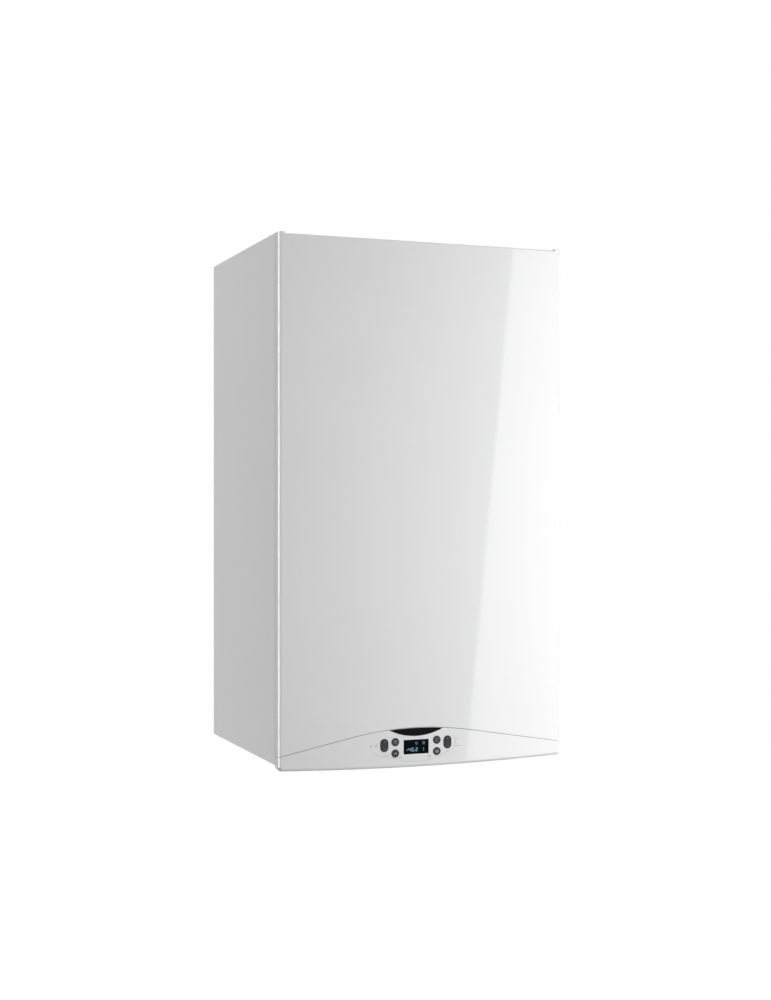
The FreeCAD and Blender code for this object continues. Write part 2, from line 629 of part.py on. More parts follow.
def bottom_plate():
    front = f"(-{BOTTOM_DEPTH})"
    high = "(bottom_lift + sheet)"
    corners = (
        (front, "bottom_lift"),
        ("-sheet", "bottom_lift"),
        ("-sheet", high),
        (f"{front} + sheet", high),
        (f"{front} + sheet", "bottom_lift + fold"),
        (front, "bottom_lift + fold"),
    )
    plate = drawn(("0", "0", "0"), SIDE_PLANE, corners, f"2 * {INNER}", f"-{INNER}")
    low = "bottom_lift - overrun"
    depth = "sheet + 2 * overrun"
    holes = []
    for step in (-2, -1, 0, 1, 2):
        stub = "tap_stub" if abs(step) == 1 else "main_stub"
        holes.append(rod((f"{step} * stub_pitch", "-stub_set", low), f"{stub} + hole_play", depth))
    holes.append(rod(("0", f"-{DRUM_MID}", low), "trap_outlet + hole_play", depth))
    discharge_set = "-port_front - safety_neck_depth - safety_depth / 2"
    holes.append(rod(("stub_pitch", discharge_set, low), "discharge_radius + hole_play", depth))
    holes.append(rod(("filling_side", "-filling_set", low), "spindle_radius + hole_play", depth))
    return part("bottom_plate", cut(plate, *holes))


def mounting_frame():
    """A cross plate between the side panels, with its ends folded back."""
    rear = "(frame_sheet - frame_front)"
    folded = "(fold - frame_front)"
    corners = (
        (f"-{INNER}", "-frame_front"),
        (INNER, "-frame_front"),
        (INNER, folded),
        (f"{INNER} - frame_sheet", folded),
        (f"{INNER} - frame_sheet", rear),
        (f"frame_sheet - {INNER}", rear),
        (f"frame_sheet - {INNER}", folded),
        (f"-{INNER}", folded),
    )
    plate = drawn(("0", "0", "drum_level - frame_drop"), PLAN, corners, "frame_rise + frame_drop")
    depth = "frame_sheet + 2 * overrun"
    windows = [rod(("0", f"{rear} + overrun", "drum_level"), "frame_window", depth, "front")]
    for side in ("-", ""):
        window_at = (f"{side}({INNER} - frame_window_set)", f"{rear} + overrun", "drum_level")
        windows.append(rod(window_at, "frame_side_window", depth, "front"))
    return part("mounting_frame", cut(plate, *windows))


def stud_places():
    return [(f"{side}{STUD_X}", level) for side in ("-", "") for level in ("stud_low", "stud_high")]


def cover_studs():
    profile = (
        ("0", "0"),
        ("stud_radius", "0"),
        ("stud_radius", "stud_length - stud_tip"),
        ("stud_radius - stud_tip", "stud_length"),
        ("0", "stud_length"),
    )
    studs = [turned((x, f"-{SIDE_DEPTH}", level), profile, "front") for x, level in stud_places()]
    return part("cover_studs", group(*studs))


def cover_clips():
    clips = []
    for x, level in stud_places():
        at = (f"{x} - clip_size / 2", f"-{COVER_BACK}", f"{level} - clip_size / 2")
        body = block(at, ("clip_size", CLIP_LENGTH, "clip_size"))
        hole_at = (x, f"-{COVER_BACK} + cover_sheet", level)
        hole = rod(hole_at, "stud_radius + clip_play", CLIP_LENGTH, "back")
        clips.append(cut(body, hole))
    return part("cover_clips", group(*clips))


def arched(sketch, corners, shift, bows=None):
    """An outline closed by the arch: corners run from one foot of the arch to the other, counterclockwise.

    The arch is a round crown between two straight flanks, all moved square to themselves by shift.
    """
    bows = bows or {}
    edges = [add_edge(sketch, corners[i], corners[i + 1], bows.get(i)) for i in range(len(corners) - 1)]
    centre = ("-controls_shift", "arch_peak - arch_radius")
    radius = f"arch_radius + {shift}"
    middle_point = flat(centre)
    spread = 2 * math.pi * CROWN_SHARE
    crown_circle = Part.Circle(middle_point, Vector(0, 0, 1), number(radius))
    crown_ends = [crown_circle.value(math.pi / 2 - spread), crown_circle.value(math.pi / 2 + spread)]
    rising = corners[-1][0].startswith("-")
    if rising:
        crown_ends.reverse()
    first = sketch.addGeometry(Part.LineSegment(flat(corners[-1]), crown_ends[0]))
    crown = sketch.addGeometry(Part.ArcOfCircle(crown_circle, math.pi / 2 - spread, math.pi / 2 + spread))
    last = sketch.addGeometry(Part.LineSegment(crown_ends[1], flat(corners[0])))
    for edge, corner in zip(edges, corners):
        pin(sketch, edge, 1, corner)
    pin(sketch, first, 1, corners[-1])
    pin(sketch, crown, 3, centre)
    index = sketch.addConstraint(Sketcher.Constraint("Radius", crown, number(radius)))
    sketch.setExpression(f"Constraints[{index}]", formula(radius))
    for edge, following in zip(edges, edges[1:] + [first]):
        sketch.addConstraint(Sketcher.Constraint("Coincident", edge, 2, following, 1))
    sketch.addConstraint(Sketcher.Constraint("Coincident", last, 2, edges[0], 1))
    enter, leave = (2, 1) if rising else (1, 2)
    sketch.addConstraint(Sketcher.Constraint("Tangent", first, 2, crown, enter))
    sketch.addConstraint(Sketcher.Constraint("Tangent", crown, leave, last, 1))


def front_cover():
    """A pressed sheet with a return on three sides; its lower edge is the arch over the fascia."""
    body = new_body(("0", "-casing_depth", "0"))
    foot = "arch_end + arch_gap / 2"
    lip = "casing_height - tab_rise"
    corners = (
        (HALF, foot),
        (HALF, "casing_height"),
        (f"{HALF} - tab_width", "casing_height"),
        (f"{HALF} - tab_width", lip),
        (f"tab_width - {HALF}", lip),
        (f"tab_width - {HALF}", "casing_height"),
        (f"-{HALF}", "casing_height"),
        (f"-{HALF}", foot),
    )
    face = sketch_on(body, FRONT_PLANE)
    arched(face, corners, "arch_gap / 2")
    pad(body, face, "cover_return", backward=True)

    hollow = sketch_on(body, FRONT_PLANE, "-cover_return")
    side = f"{HALF} - cover_sheet"
    rectangle(hollow, f"-({side})", "arch_end - overrun", side, f"{lip} - cover_sheet")
    pocket(body, hollow, "cover_return - cover_sheet", backward=True)

    def upright(edge):
        spot = middle(edge)
        return near(abs(spot.x), HALF) and near(spot.y, "0")

    def inner_upright(edge):
        spot = middle(edge)
        return near(abs(spot.x), side) and near(spot.y, "cover_sheet")

    def top_front(edge):
        spot = middle(edge)
        return near(spot.z, lip) and near(spot.y, "0") and near(spot.x, "0")

    round_edges(body, "edge_round - cover_sheet", inner_upright)
    round_edges(body, "edge_round", upright)
    round_edges(body, "top_round", top_front)
    return part("front_cover", body)


# Flue and burner

def flue_collar():
    """The flange on the top panel, the air collar and the flue socket, joined by four ribs."""
    at = ("0", f"-{DRUM_MID}", TOP)
    air_outer = "(air_bore + air_wall)"
    collar_profile = (
        ("air_bore", "0"),
        ("collar_flange", "0"),
        ("collar_flange", "collar_flange_depth"),
        (air_outer, "collar_flange_depth"),
        (air_outer, "collar_rise"),
        ("air_bore", "collar_rise"),
    )
    socket_profile = (
        ("flue_bore", "-flue_drop"),
        (FLUE_OUTER, "-flue_drop"),
        (FLUE_OUTER, "collar_rise"),
        ("flue_bore", "collar_rise"),
    )
    pieces = [turned(at, collar_profile), turned(at, socket_profile)]
    reach = "(air_bore + air_wall / 2)"
    gap = f"({reach} - flue_bore - flue_wall / 2)"
    inside = "(flue_bore + flue_wall / 2)"
    for left in (f"-{reach}", inside):
        pieces.append(block((left, f"-{DRUM_MID} - rib_depth / 2", TOP), (gap, "rib_depth", "rib_height")))
    for front in (f"-{DRUM_MID} - {reach}", f"-{DRUM_MID} + {inside}"):
        pieces.append(block(("-rib_depth / 2", front, TOP), ("rib_depth", gap, "rib_height")))
    for side in ("-", ""):
        cap_at = (f"{side}(collar_flange - test_cap_set)", f"-{DRUM_MID}", TOP)
        pieces.append(rod(cap_at, "test_cap", "collar_flange_depth + test_cap_height"))
    return part("flue_collar", union(*pieces))


def flue_duct():
    bore = f"({FLUE_OUTER} + flue_play)"
    outer = f"({bore} + flue_wall)"
    low = f"(drum_level + {DRUM_OUTER} + duct_clear)"
    length = f"({TOP} - flue_drop + duct_overlap - {low})"
    profile = (
        (bore, "0"),
        (f"{outer} + duct_bead", "0"),
        (f"{outer} + duct_bead", "duct_bead_height"),
        (outer, "duct_bead_height"),
        (outer, f"{length} - duct_bead_height"),
        (f"{outer} + duct_bead", f"{length} - duct_bead_height"),
        (f"{outer} + duct_bead", length),
        (bore, length),
    )
    return part("flue_duct", turned(("0", f"-{DRUM_MID}", low), profile))


def ring_places(count):
    """Places evenly round the drum's bolt ring, as formulas for x and height."""
    places = []
    for i in range(count):
        turn = 360 * i / count
        places.append((f"{BOLT_RING} * cos({turn} deg)", f"drum_level + {BOLT_RING} * sin({turn} deg)"))
    return places


def bolt_holes(rear, depth):
    radius = "bolt_radius + bolt_play"
    return [rod((x, rear, level), radius, depth, "front") for x, level in ring_places(BOLT_COUNT)]


def exchanger_drum():
    profile = (
        ("0", "0"),
        (DRUM_OUTER, "0"),
        (DRUM_OUTER, "drum_length - drum_rim_depth"),
        (DRUM_RIM, "drum_length - drum_rim_depth"),
        (DRUM_RIM, "drum_length"),
        ("0", "drum_length"),
    )
    middle_at = ("0", f"-{DRUM_MID}", "drum_level")
    shell = union(
        turned(("0", "-frame_front", "drum_level"), profile, "front"),
        rod(middle_at, FLUE_OUTER, f"{DRUM_OUTER} + spigot_rise"),
        rod(middle_at, "drain_radius", f"{DRUM_OUTER} + drain_drop", "down"),
    )
    tail_bore = "tail_radius + tail_play"
    rim_rear = f"-{DRUM_FRONT} + drum_rim_depth + overrun"
    hollows = [
        rod(("0", "-frame_front - drum_wall", "drum_level"), "drum_bore", "drum_length", "front"),
        rod(middle_at, "flue_bore", f"{DRUM_OUTER} + spigot_rise + overrun"),
        rod(middle_at, "drain_radius - drain_wall", f"{DRUM_OUTER} + drain_drop + overrun", "down"),
        rod(("ring_radius", f"-{RING_REAR}", "drum_level"), tail_bore, "tail_drop", "down"),
        rod(("-ring_radius", f"-{RING_FRONT}", "drum_level"), tail_bore, "tail_drop", "down"),
    ]
    holes = bolt_holes(rim_rear, "drum_rim_depth + 2 * overrun")
    return part("exchanger_drum", cut(shell, *hollows, *holes))


def exchanger_rings():
    """Flat oval rings side by side, joined by two collectors, each with a tail down through the drum."""
    half = "ring_depth / 2"
    inner = "(ring_radius - ring_width / 2)"
    outer = "(ring_radius + ring_width / 2)"
    profile = (
        (inner, f"ring_edge - {half}"),
        (f"{inner} + ring_edge", f"-{half}"),
        (f"{outer} - ring_edge", f"-{half}"),
        (outer, f"ring_edge - {half}"),
        (outer, f"{half} - ring_edge"),
        (f"{outer} - ring_edge", half),
        (f"{inner} + ring_edge", half),
        (inner, f"{half} - ring_edge"),
    )
    pieces = []
    for i in range(RING_COUNT):
        pieces.append(turned(("0", f"-{RING_REAR} - {RING_PITCH} * {i}", "drum_level"), profile, "front"))
    span = f"({RING_PITCH} * {RING_COUNT - 1})"
    for side, tail_set in (("", RING_REAR), ("-", RING_FRONT)):
        x = f"{side}ring_radius"
        pieces.append(rod((x, f"-{RING_REAR}", "drum_level"), "collector_radius", span, "front"))
        pieces.append(rod((x, f"-{tail_set}", "drum_level"), "tail_radius", "tail_drop", "down"))
    return part("exchanger_rings", union(*pieces))


def door_gasket():
    rear = f"-{DRUM_FRONT}"
    ring = rod(("0", rear, "drum_level"), DRUM_RIM, "gasket_depth", "front")
    through = "gasket_depth + 2 * overrun"
    bore = rod(("0", f"{rear} + overrun", "drum_level"), "drum_bore + gasket_set", through, "front")
    holes = bolt_holes(f"{rear} + overrun", through)
    return part("door_gasket", cut(ring, bore, *holes))


def electrode_places():
    return [(f"{side}electrode_side", "drum_level - electrode_drop") for side in ("-", "")]


def burner_door():
    profile = (
        ("inlet_bore", "0"),
        (DRUM_RIM, "0"),
        (DRUM_RIM, "door_depth"),
        ("door_boss", "door_depth"),
        ("door_boss", "door_depth + door_boss_depth"),
        ("inlet_bore", "door_depth + door_boss_depth"),
    )
    plate = turned(("0", f"-{DOOR_REAR}", "drum_level"), profile, "front")
    rear = f"-{DOOR_REAR} + overrun"
    depth = "door_depth + 2 * overrun"
    holes = bolt_holes(rear, depth)
    for x, level in electrode_places():
        holes.append(rod((x, rear, level), "ceramic_radius + electrode_play", depth, "front"))
    return part("burner_door", cut(plate, *holes))


def door_bolts():
    shank = "(door_depth + gasket_depth + drum_rim_depth)"
    bolts = []
    for x, level in ring_places(BOLT_COUNT):
        head = hexagon((x, f"-{DOOR_FRONT}", level), "bolt_head", "bolt_head_depth", "front")
        bolts.append(union(head, rod((x, f"-{DOOR_FRONT}", level), "bolt_radius", shank, "back")))
    return part("door_bolts", group(*bolts))


def burner_tube():
    """A flanged cup behind the door, slotted all round."""
    inner = "burner_radius - burner_sheet"
    profile = (
        (inner, "0"),
        ("burner_flange", "0"),
        ("burner_flange", "burner_sheet"),
        ("burner_radius", "burner_sheet"),
        ("burner_radius", "burner_length"),
        ("0", "burner_length"),
        ("0", "burner_length - burner_sheet"),
        (inner, "burner_length - burner_sheet"),
    )
    body = turned(("0", f"-{DOOR_REAR}", "drum_level"), profile, "back")
    slot = sketch_on(body, FRONT_PLANE)
    rectangle(slot, "-burner_slot / 2", "burner_slot_start", "burner_slot / 2", "burner_slot_end")
    around(body, pocket(body, slot, "burner_radius + overrun"), BURNER_SLOT_COUNT)
    return part("burner_tube", body)


def electrodes():
    profile = (
        ("0", "-electrode_reach"),
        ("electrode_rod", "-electrode_reach"),
        ("electrode_rod", "-door_depth - ceramic_in"),
        ("ceramic_radius", "-door_depth - ceramic_in"),
        ("ceramic_radius", "0"),
        ("electrode_collar", "0"),
        ("electrode_collar", "electrode_collar_depth"),
        ("ceramic_radius", "electrode_collar_depth"),
        ("ceramic_radius", "ceramic_out"),
        ("terminal_radius", "ceramic_out"),
        ("terminal_radius", "ceramic_out + electrode_tip"),
        ("0", "ceramic_out + electrode_tip"),
    )
    rods = [turned((x, f"-{DOOR_FRONT}", level), profile, "front") for x, level in electrode_places()]
    return part("electrodes", group(*rods))


# Fan, air and gas

def fan_outlet(inset, depth_inset):
    """The straight outlet at the top of the fan's scroll, drawn in by inset and closed by depth_inset."""
    low = f"{FAN_LEVEL} + fan_radius - outlet_height + {inset}"
    at = (f"-{FAN_X}", f"{depth_inset} - {FAN_FRONT}", low)
    size = ("fan_radius + outlet_length", f"fan_depth - 2 * {depth_inset}", f"outlet_height - 2 * {inset}")
    return block(at, size)


def fan_housing():
    at = (f"-{FAN_X}", f"-{FAN_REAR}", FAN_LEVEL)
    hollow_at = (f"-{FAN_X}", f"-{FAN_REAR} - fan_wall", FAN_LEVEL)
    scroll = union(rod(at, "fan_radius", "fan_depth", "front"), fan_outlet("0", "0"))
    hollow = union(
        rod(hollow_at, "fan_radius - fan_wall", "fan_depth - 2 * fan_wall", "front"),
        fan_outlet("fan_wall", "fan_wall"),
        rod(at, "fan_inlet", "fan_depth / 2", "front"),
        rod(hollow_at, "fan_opening", "fan_depth", "front"),
    )
    return part("fan_housing", cut(scroll, hollow))


def fan_motor():
    bore = "shaft_radius + shaft_play"
    can = "(motor_plate_depth + motor_length)"
    profile = (
        (bore, "0"),
        ("motor_plate", "0"),
        ("motor_plate", "motor_plate_depth"),
        ("motor_radius", "motor_plate_depth"),
        ("motor_radius", f"{can} - motor_edge"),
        ("motor_radius - motor_edge", can),
        ("motor_boss", can),
        ("motor_boss", f"{can} + motor_boss_depth"),
        ("0", f"{can} + motor_boss_depth"),
        ("0", "shaft_hole_depth"),
        (bore, "shaft_hole_depth"),
    )
    return part("fan_motor", turned((f"-{FAN_X}", f"-{FAN_FRONT}", FAN_LEVEL), profile, "front"))


def fan_impeller():
    """A back plate with leaning blades on a hub, and the shaft that runs into the motor."""
    plate = "(impeller_start + impeller_height)"
    top = f"({plate} + impeller_plate)"
    profile = (
        ("0", f"{top} - hub_length"),
        ("hub_radius", f"{top} - hub_length"),
        ("hub_radius", plate),
        ("impeller_radius", plate),
        ("impeller_radius", top),
        ("shaft_radius", top),
        ("shaft_radius", "fan_depth + shaft_reach"),
        ("0", "fan_depth + shaft_reach"),
    )
    body = turned((f"-{FAN_X}", f"-{FAN_REAR}", FAN_LEVEL), profile, "front")
    blade = sketch_on(body, PLAN, "impeller_start")
    corners = (
        ("blade_root", "0"),
        ("blade_tip", "blade_lean"),
        ("blade_tip", "blade_lean + blade_sheet"),
        ("blade_root", "blade_sheet"),
    )
    loop(blade, corners)
    around(body, pad(body, blade, "impeller_height + impeller_plate / 2"), BLADE_COUNT)
    return part("fan_impeller", body)


def mixture_duct():
    """The flat duct from the fan's outlet to the burner door, round at the door's end."""
    left = f"(fan_radius + outlet_length - {FAN_X})"
    half = "(outlet_height / 2)"
    at = (left, f"-{FAN_FRONT}", f"drum_level - {half}")
    inner_at = (left, f"mix_wall - {FAN_FRONT}", f"drum_level - {half} + mix_wall")
    inner_depth = "fan_depth - 2 * mix_wall"
    end_radius = "inlet_bore + mix_wall"
    outer = union(
        block(at, (f"-{left}", "fan_depth", "outlet_height")),
        rod(("0", f"-{FAN_REAR}", "drum_level"), end_radius, "fan_depth", "front"),
    )
    inner = union(
        block(inner_at, (f"-{left}", inner_depth, "outlet_height - 2 * mix_wall")),
        rod(("0", f"-{FAN_REAR} - mix_wall", "drum_level"), "inlet_bore", inner_depth, "front"),
        rod(("0", f"-{FAN_REAR}", "drum_level"), "inlet_bore", "fan_depth / 2", "front"),
    )
    return part("mixture_duct", cut(outer, inner))


def venturi():
    """The mixing tube behind the fan: a waisted bore with the gas tapping below."""
    at = (f"-{FAN_X}", f"-{FAN_REAR}", FAN_LEVEL)
    shoulder = "(venturi_length - socket_depth)"
    socket = "(intake_radius + fit_play)"
    outer_profile = (
        ("0", "0"),
        ("venturi_flange", "0"),
        ("venturi_flange", "venturi_flange_depth"),
        ("venturi_radius", "venturi_flange_depth"),
        ("venturi_radius", f"{shoulder} - socket_cone"),
        (f"{socket} + socket_wall", shoulder),
        (f"{socket} + socket_wall", "venturi_length"),
        ("0", "venturi_length"),
    )
    inner_profile = (
        ("0", "0"),
        ("fan_inlet", "0"),
        ("venturi_throat", "throat_set"),
        ("intake_radius - intake_wall", shoulder),
        (socket, shoulder),
        (socket, "venturi_length"),
        ("0", "venturi_length"),
    )
    tap_at = (f"-{FAN_X}", f"-{GAS_SET}", FAN_LEVEL)
    low_at = (f"-{FAN_X}", f"-{GAS_SET}", f"{FAN_LEVEL} - tap_drop")
    tube = union(turned(at, outer_profile, "back"), rod(tap_at, "tap_boss", "tap_drop", "down"))
    bores = union(
        turned(at, inner_profile, "back"),
        rod(tap_at, "feed_radius - feed_wall", "tap_drop", "down"),
        rod(low_at, "feed_radius + fit_play", "feed_socket"),
    )
    return part("venturi", cut(tube, bores))


def air_intake():
    route = (
        (f"-{FAN_X}", f"-{VENTURI_END} - socket_depth", FAN_LEVEL),
        (f"-{FAN_X}", f"-{INTAKE_SET}", FAN_LEVEL),
        (f"-{FAN_X}", f"-{INTAKE_SET}", "intake_top"),
    )
    return part("air_intake", pipe(route, "intake_radius", "intake_wall", "intake_bend"))


def gas_valve():
    at = (f"-{FAN_X}", f"-{GAS_SET}", "valve_low")
    body = new_body(at)
    plan = sketch_on(body, PLAN)
    rectangle(plan, "-valve_width / 2", "-valve_depth / 2", "valve_width / 2", "valve_depth / 2")
    pad(body, plan, "valve_height")
    round_edges(body, "valve_round", lambda edge: near(middle(edge).z, "valve_height / 2"))
    low_at = (f"-{FAN_X}", f"-{GAS_SET}", "valve_low - valve_port_height")
    top_at = (f"-{FAN_X}", f"-{GAS_SET}", VALVE_TOP)
    pieces = [body, rod(low_at, "valve_port", "valve_height + 2 * valve_port_height")]
    front = f"-{GAS_SET} - valve_depth / 2"
    for share in SOLENOID_SHARES:
        level = f"valve_low + valve_height * {share}"
        pieces.append(rod((f"-{FAN_X}", front, level), "solenoid_radius", "solenoid_length", "front"))
        cap_at = (f"-{FAN_X}", f"{front} - solenoid_length", level)
        pieces.append(rod(cap_at, "solenoid_cap", "solenoid_cap_depth", "front"))
    sockets = (
        rod(low_at, "gas_radius + fit_play", "valve_port_height"),
        rod(top_at, "feed_radius + fit_play", "feed_socket", "down"),
    )
    return part("gas_valve", cut(union(*pieces), *sockets))


def gas_feed_tube():
    low = f"({VALVE_TOP} - feed_socket)"
    high = f"({FAN_LEVEL} - tap_drop + feed_socket)"
    bore = "feed_radius - feed_wall"
    length = f"({high} - {low})"
    profile = ((bore, "0"), ("feed_radius", "0"), ("feed_radius", length), (bore, length))
    return part("gas_feed_tube", turned((f"-{FAN_X}", f"-{GAS_SET}", low), profile))


def connection(x, radius, top):
    """A threaded stub with a hexagon, standing below the casing."""
    at = (x, "-stub_set", "-stub_drop")
    nut_at = (x, "-stub_set", "-nut_drop")
    stub = rod(at, radius, f"stub_drop + {top}")
    return union(stub, hexagon(nut_at, f"{radius} + nut_rim", "nut_height"))


def connection_bore(x, radius, depth):
    return rod((x, "-stub_set", "-stub_drop"), f"{radius} - stub_wall", depth)


def gas_supply_pipe():
    route = (
        ("0", "-stub_set", "-stub_drop"),
        ("0", "-stub_set", "gas_turn_low"),
        (f"-{FAN_X}", f"-{GAS_SET}", "gas_turn_high"),
        (f"-{FAN_X}", f"-{GAS_SET}", "valve_low"),
    )
    tube = pipe(route, "gas_radius", "gas_wall", "gas_bend")
    stub_bore = connection_bore("0", "main_stub", "stub_bore_depth")
    fitting = cut(connection("0", "main_stub", "bottom_lift"), stub_bore)
    filled = rod(("0", "-stub_set", "0"), "main_stub - stub_wall", "bottom_lift")
    hole = rod(("0", "-stub_set", "-overrun"), "gas_radius - gas_wall", "bottom_lift + 2 * overrun")
    return part("gas_supply_pipe", union(tube, fitting, cut(filled, hole)))


def condensate_trap():
    cup = "(drain_radius + fit_play)"
    low = "(trap_neck + trap_shoulder + trap_height)"
    base = f"({low} + trap_base_height)"
    end = f"({DRAIN_END} + trap_outlet_drop)"
    profile = (
        ("trap_bore", f"-{end}"),
        ("trap_outlet", f"-{end}"),
        ("trap_outlet", f"nozzle_length - {end}"),
        ("trap_pipe", f"nozzle_length - {end}"),
        ("trap_pipe", f"-{base}"),
        ("trap_base", f"-{base}"),
        ("trap_radius", f"-{low}"),
        ("trap_radius", "-trap_neck - trap_shoulder"),
        (f"{cup} + trap_wall", "-trap_neck"),
        (f"{cup} + trap_wall", "trap_cup"),
        (cup, "trap_cup"),
        (cup, "0"),
        ("trap_bore", "0"),
    )
    return part("condensate_trap", turned(("0", f"-{DRUM_MID}", DRAIN_END), profile))


# Water

def rounded_disc(inset):
    """The vessel's outer form, or what its wall leaves inside."""
    radius = f"(vessel_radius - {inset})"
    depth = f"(vessel_depth - 2 * {inset})"
    profile = (("0", "0"), (radius, "0"), (radius, depth), ("0", depth))
    body = turned(("0", f"-sheet - {inset}", "vessel_level"), profile, "front")
    round_edges(body, f"vessel_round - {inset}", lambda edge: edge.Closed and len(edge.Vertexes) == 1)
    return body


def expansion_vessel():
    """A round flat vessel with a seam round its middle, standing on the rear panel."""
    rim_at = ("0", f"vessel_rim_depth / 2 - {VESSEL_MID}", "vessel_level")
    rim = rod(rim_at, "vessel_radius + vessel_rim", "vessel_rim_depth", "front")
    port_at = ("0", f"-{VESSEL_MID}", "vessel_level - vessel_radius - vessel_port_drop")
    port = rod(port_at, "vessel_port", "2 * vessel_port_drop")
    socket = rod(port_at, "vessel_pipe_radius + fit_play", "pipe_socket")
    bore = rod(port_at, "vessel_pipe_radius - vessel_pipe_wall", "2 * vessel_port_drop")
    outside = union(rounded_disc("0"), rim, port)
    return part("expansion_vessel", cut(outside, rounded_disc("vessel_wall"), socket, bore))


def vessel_pipe():
    route = (
        ("0", f"-{VESSEL_MID}", "vessel_level - vessel_radius - vessel_port_drop + pipe_socket"),
        ("0", f"-{VESSEL_MID}", "vessel_turn_high"),
        ("stub_pitch", "-stub_set", "vessel_turn_low"),
        ("stub_pitch", "-stub_set", "group_high - pipe_socket"),
    )
    return part("vessel_pipe", pipe(route, "vessel_pipe_radius", "vessel_pipe_wall", "vessel_pipe_bend"))


def water_group(side, socket_x, socket_radius):
    """The cast body over two connections: uprights, a cross passage, and ports for what it carries."""
    main_x = f"{side}2 * stub_pitch"
    tap_x = f"{side}stub_pitch"
    height = "group_high - group_low"
    cross_at = (f"{side}2 * stub_pitch" if side else "stub_pitch", "-stub_set", "cross_level")
    reach = "port_front - stub_set"
    casting = union(
        connection(main_x, "main_stub", "group_low"),
        connection(tap_x, "tap_stub", "group_low"),
        rod((main_x, "-stub_set", "group_low"), "main_body", height),
        rod((tap_x, "-stub_set", "group_low"), "tap_body", height),
        rod(cross_at, "cross_radius", "stub_pitch", "right"),
        rod((tap_x, "-stub_set", "plate_low + plate_port_level"), "port_radius", reach, "front"),
        rod((main_x, "-stub_set", "cross_level" if side else "pump_level"), "pump_neck", reach, "front"),
    )
    bores = [
        connection_bore(main_x, "main_stub", "stub_bore_depth"),
        connection_bore(tap_x, "tap_stub", "stub_bore_depth"),
        rod((socket_x, "-stub_set", "group_high"), f"{socket_radius} + fit_play", "pipe_socket", "down"),
    ]
    return casting, bores


def flow_group():
    casting, bores = water_group("-", "-2 * stub_pitch", "pipe_radius")
    return part("flow_group", cut(casting, *bores))


def return_group():
    casting, bores = water_group("", "stub_pitch", "vessel_pipe_radius")
    reach = "port_front - stub_set"
    safety_port = rod(("stub_pitch", "-stub_set", "safety_level"), "safety_neck", reach, "front")
    filling_port = rod(("filling_side", "-stub_set", "cross_level"), "filling_arm", reach, "front")
    return part("return_group", cut(union(casting, safety_port, filling_port), *bores))


def plate_exchanger():
    """A stack of pressed plates with rounded ends, brazed round a core."""
    body = new_body(("-plate_shift", "-port_front", "plate_low + plate_height / 2"))
    core = sketch_on(body, FRONT_PLANE)
    lying_pill(core, "plate_width - 2 * plate_edge", "plate_height - 2 * plate_edge")
    pad(body, core, "plate_depth")
    plate = sketch_on(body, FRONT_PLANE)
    lying_pill(plate, "plate_width", "plate_height")
    first = pad(body, plate, "plate_sheet")
    along(body, first, "Y_Axis", "plate_depth - plate_sheet", PLATE_COUNT, backward=True)
    return part("plate_exchanger", body)


def pump_body():
    at = ("2 * stub_pitch", "-port_front", "pump_level")
    profile = (
        ("0", "0"),
        ("pump_neck", "0"),
        ("pump_neck", "pump_neck_depth"),
        ("pump_radius", "pump_neck_depth + pump_cone"),
        ("pump_radius", "pump_depth - pump_flange_depth"),
        ("pump_flange", "pump_depth - pump_flange_depth"),
        ("pump_flange", "pump_depth"),
        ("0", "pump_depth"),
    )
    outlet_at = ("2 * stub_pitch", f"-{PUMP_OUTLET}", "pump_level")
    top_at = ("2 * stub_pitch", f"-{PUMP_OUTLET}", "pump_level + outlet_rise")
    hollow_at = ("2 * stub_pitch", "-port_front - pump_floor", "pump_level")
    casting = union(turned(at, profile, "front"), rod(outlet_at, "outlet_boss", "outlet_rise"))
    hollow = union(
        rod(hollow_at, "pump_bore", "pump_depth", "front"),
        rod(outlet_at, "pipe_radius - pipe_wall", "outlet_rise"),
        rod(top_at, "pipe_radius + fit_play", "pipe_socket", "down"),
    )
    return part("pump_body", cut(casting, hollow))


def pump_motor():
    bore = "pump_shaft + shaft_play"
    profile = (
        (bore, "0"),
        ("pump_flange", "0"),
        ("pump_flange", "pump_plate_depth"),
        ("pump_motor_radius", "pump_plate_depth + pump_motor_edge"),
        ("pump_motor_radius", "pump_motor_length - pump_motor_edge"),
        ("pump_motor_radius - pump_motor_edge", "pump_motor_length"),
        ("pump_cap_radius", "pump_motor_length"),
        ("pump_cap_radius", "pump_motor_length + pump_cap_depth"),
        ("0", "pump_motor_length + pump_cap_depth"),
        ("0", "pump_shaft_hole"),
        (bore, "pump_shaft_hole"),
    )
    can = turned(("2 * stub_pitch", f"-{PUMP_FRONT}", "pump_level"), profile, "front")
    box_front = f"-{PUMP_FRONT} - pump_motor_length + pump_motor_edge"
    box_at = ("2 * stub_pitch - terminal_width / 2", box_front, "pump_level")
    box = block(box_at, ("terminal_width", "terminal_depth", "pump_motor_radius + terminal_height"))
    bore_rod = rod(("2 * stub_pitch", f"-{PUMP_FRONT}", "pump_level"), bore, "pump_shaft_hole", "front")
    return part("pump_motor", cut(union(can, box), bore_rod))


def pump_rotor():
    start = "(pump_floor + rotor_clear)"
    profile = (
        ("0", start),
        ("rotor_eye", start),
        ("rotor_radius", f"{start} + rotor_depth / 2"),
        ("rotor_radius", f"{start} + rotor_depth"),
        ("pump_shaft", f"{start} + rotor_depth"),
        ("pump_shaft", "pump_depth + rotor_reach"),
        ("0", "pump_depth + rotor_reach"),
    )
    return part("pump_rotor", turned(("2 * stub_pitch", "-port_front", "pump_level"), profile, "front"))


